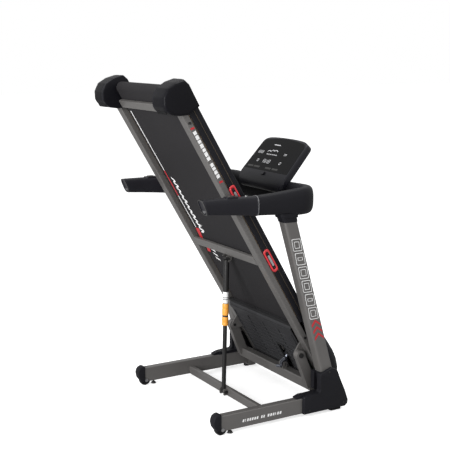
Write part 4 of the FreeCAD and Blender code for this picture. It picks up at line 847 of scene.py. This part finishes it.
def build_boots():
    """The moulded cover at each upright's foot, with soft edges and a neck round the upright."""
    outline = rounded([(452, 18), (452, 108), (548, 113), (548, 205), (616, 228), (648, 212), (672, 156),
                       (698, 100), (717, 48), (715, 30), (700, 18)],
                      [6, 14, 14, 12, 10, 12, 40, 60, 20, 8, 8], 6)
    centre = (600, 95)
    rings = []
    for x, size in ((400, 1.0), (420, 1.0), (426, 0.994), (429, 0.982), (430, 0.965)):
        rings.append([at(x, u, v) for u, v in scaled(outline, size, centre)])
    outer = loft(rings)
    # On the inside it only comes down to the top of the floor rail.
    low_outline = rounded([(452, 96), (452, 108), (548, 113), (660, 113), (695, 104), (698, 96)],
                          [2, 10, 10, 10, 8, 2], 5)
    low = slab(low_outline, side_at, 374, 402)
    collar_rings = []
    for z, g in ((112, 5), (114, 7), (190, 6), (203, 5), (207, 2), (207.5, -1)):
        ring = [at(UPRIGHT_X + u, upright_y(z) + v, z) for u, v in oval(58 + 2 * g, 74 + 2 * g, 5)]
        collar_rings.append(ring)
    neck = loft(collar_rings)
    inner_shoulder = slab(rounded([(548, 112), (548, 204), (612, 224), (644, 206), (690, 112)], 10, 5),
                          side_at, 348, 374)
    boots = piece("boots", *both([outer, low, neck, inner_shoulder]), "base", PLASTIC, "plastic_black",
                  bevel=1.2, segments=2)
    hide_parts("upright_covers")
    tab = slab(rounded([(419, 97), (419, 104), (446, 113), (470, 113), (470, 97)], 4, 4),
               side_at, 380, 412)
    piece("boot_tabs", *both([tab]), "base", PLASTIC, "plastic_black", bevel=1.5)


def build_rail_plugs():
    """The bulging plug in each floor rail's rear end."""
    outline = rounded([(3, 21), (-14, 21), (-32, 46), (-37, 74), (-28, 98), (-8, 106), (3, 103)],
                      [3, 16, 24, 30, 24, 16, 3], 6)
    rings = []
    for x, size in ((374.2, 0.9), (375, 0.96), (378, 1.0), (396, 1.02), (414, 1.0), (417, 0.96),
                    (417.8, 0.9)):
        rings.append([at(x, min(3.0, y), z) for y, z in scaled(outline, size, (-4, 64))])
    plug = loft(rings)
    plugs = piece("rail_plugs", *both([plug]), "base", PLASTIC, "plastic_black", smooth=40)
    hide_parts("rail_end_caps")


def build_small_parts():
    """Pan-head screws on the boots' outer faces, and the strap at the lift bar."""
    heads = []
    for y, z in ((486, 34), (688, 40), (600, 208)):
        profile = [(0, 5), (0.5, 5), (0.9, 3.8), (1, 2)]
        heads.append(tube_part(at(429, y, z), at(431.5, y, z), profile, 24))
    piece("boot_screws", *both(heads), "base", DARK_STEEL, "steel", smooth=40)

    # The bent strap in front of the lift bar's ears.
    strap = []
    bends = ((50, 141), (86, 150), (92, 178), (126, 206))
    for (x0, z0), (x1, z1) in zip(bends, bends[1:]):
        profile = [(0, 5), (0.05, 8), (0.95, 8), (1, 5)]
        strap.append(tube_part(at(x0, 547, z0), at(x1, 547, z1), profile, 20))
    piece("lift_strap", *join(strap), "incline_frame", CHROME, "steel", smooth=50)


build_handlebar()
build_console()
build_end_caps()
build_foot_rails()
build_cushions()
build_hood()
build_tray()
build_belt()
build_graphics()
build_spring()
build_boots()
build_rail_plugs()
build_small_parts()

# ---- surfaces of the CAD nodes that stay -------------------------------------------------------

NODE_SURFACES = {
    "base_rails": PAINT, "uprights": PAINT, "base_crossbars": PAINT, "hinge_brackets": PAINT,
    "wheel_axles": STEEL, "front_feet": RUBBER, "base_fasteners": DARK_STEEL, "handlebar_tube": STEEL,
    "console_electronics": CIRCUIT, "console_bracket": PAINT, "key_pods": PLASTIC_SMOOTH,
    "rear_wheel_right": RUBBER, "rear_wheel_left": RUBBER, "levelling_foot_right": DARK_STEEL,
    "levelling_foot_left": DARK_STEEL, "hinge_bushes": STEEL, "incline_frame": PAINT,
    "incline_frame_pins": STEEL, "deck_side_rails": PAINT, "deck_crossbars": PAINT,
    "running_board": WOOD, "deck_cushions": RUBBER, "roller_mounts": STEEL, "drive_motor": CAST,
    "motor_plate": PAINT, "drive_belt": RUBBER, "controller_board": CIRCUIT, "power_inlet": PLASTIC,
    "deck_bolts": DARK_STEEL, "rear_roller": DARK_STEEL, "front_roller": DARK_STEEL, "motor_rotor": CAST,
    "power_switch": RED, "spring_lower_tube": DARK_STEEL, "spring_upper_tube": DARK_STEEL,
    "actuator_body": PLASTIC, "actuator_screw": CHROME, "start_button": GREY_KEY, "stop_button": GREY_KEY,
    "plus_button": GREY_KEY, "minus_button": GREY_KEY, "safety_key": PLASTIC_SMOOTH,
    "speed_key": GREY_KEY, "incline_key": GREY_KEY,
}
for node, surface in NODE_SURFACES.items():
    paint_node(node, surface)


# ---- floor, light and camera -------------------------------------------------------------------

def build_stage():
    """A white floor and background, three area lights and the camera."""
    mesh = bpy.data.meshes.new("floor")
    mesh.from_pydata([(-30, -30, 0), (30, -30, 0), (30, 30, 0), (-30, 30, 0)], [], [(0, 1, 2, 3)])
    floor = bpy.data.objects.new("floor", mesh)
    bpy.context.scene.collection.objects.link(floor)
    floor.location.z = -0.0006
    pale = bpy.data.materials.new("floor_white")
    pale.use_nodes = True
    shader = pale.node_tree.nodes["Principled BSDF"]
    shader.inputs["Base Color"].default_value = (0.9, 0.9, 0.9, 1)
    shader.inputs["Roughness"].default_value = 0.9
    shader.inputs["Specular IOR Level"].default_value = 0.1
    shader.inputs["Emission Color"].default_value = (1, 1, 1, 1)
    shader.inputs["Emission Strength"].default_value = 0.62
    # Light that bounces off the floor onto the part comes from a greyer floor than the one seen.
    dull = pale.node_tree.nodes.new("ShaderNodeBsdfDiffuse")
    dull.inputs["Color"].default_value = (0.42, 0.42, 0.42, 1)
    seen_by = pale.node_tree.nodes.new("ShaderNodeLightPath")
    choose = pale.node_tree.nodes.new("ShaderNodeMixShader")
    output = pale.node_tree.nodes["Material Output"]
    pale.node_tree.links.new(seen_by.outputs["Is Camera Ray"], choose.inputs["Fac"])
    pale.node_tree.links.new(dull.outputs["BSDF"], choose.inputs[1])
    pale.node_tree.links.new(shader.outputs["BSDF"], choose.inputs[2])
    pale.node_tree.links.new(choose.outputs["Shader"], output.inputs["Surface"])
    mesh.materials.append(pale)

    world = bpy.data.worlds.new("studio")
    bpy.context.scene.world = world
    world.use_nodes = True
    nodes = world.node_tree.nodes
    back = nodes["Background"]
    back.inputs["Color"].default_value = (1, 1, 1, 1)
    back.inputs["Strength"].default_value = 0.62
    seen = nodes.new("ShaderNodeBackground")
    seen.inputs["Color"].default_value = (1, 1, 1, 1)
    seen.inputs["Strength"].default_value = 1.0
    rays = nodes.new("ShaderNodeLightPath")
    mix = nodes.new("ShaderNodeMixShader")
    world.node_tree.links.new(rays.outputs["Is Camera Ray"], mix.inputs["Fac"])
    world.node_tree.links.new(back.outputs["Background"], mix.inputs[1])
    world.node_tree.links.new(seen.outputs["Background"], mix.inputs[2])
    world.node_tree.links.new(mix.outputs["Shader"], nodes["World Output"].inputs["Surface"])

    for name, spot, size, power in (("key", (1.9, -5.0, 1.9), 2.8, 330), ("fill", (4.6, 1.6, 2.6), 3.0, 20),
                                    ("top", (0.0, 0.6, 5.0), 3.0, 90)):
        light = bpy.data.lights.new(name, "AREA")
        light.size = size
        light.energy = power
        lamp = bpy.data.objects.new(name, light)
        lamp.location = spot
        lamp.rotation_euler = (Vector((0, 0, 0.7)) - Vector(spot)).to_track_quat("-Z", "Y").to_euler()
        bpy.context.scene.collection.objects.link(lamp)

    camera_data = bpy.data.cameras.new("camera")
    camera_data.sensor_width = 36.0
    camera_data.lens = 78.84
    camera_data.clip_start = 0.1
    camera_data.clip_end = 100
    camera = bpy.data.objects.new("camera", camera_data)
    azimuth = math.radians(59.48)
    height = math.radians(10.38)
    back_way = Vector((math.sin(azimuth) * math.cos(height), -math.cos(azimuth) * math.cos(height),
                       math.sin(height)))
    camera.location = at(4096.3, -2147.9, 1764.8)
    camera.rotation_euler = (-back_way).to_track_quat("-Z", "Y").to_euler()
    bpy.context.scene.collection.objects.link(camera)
    bpy.context.scene.camera = camera
    bpy.context.scene.view_settings.view_transform = "Standard"


build_stage()
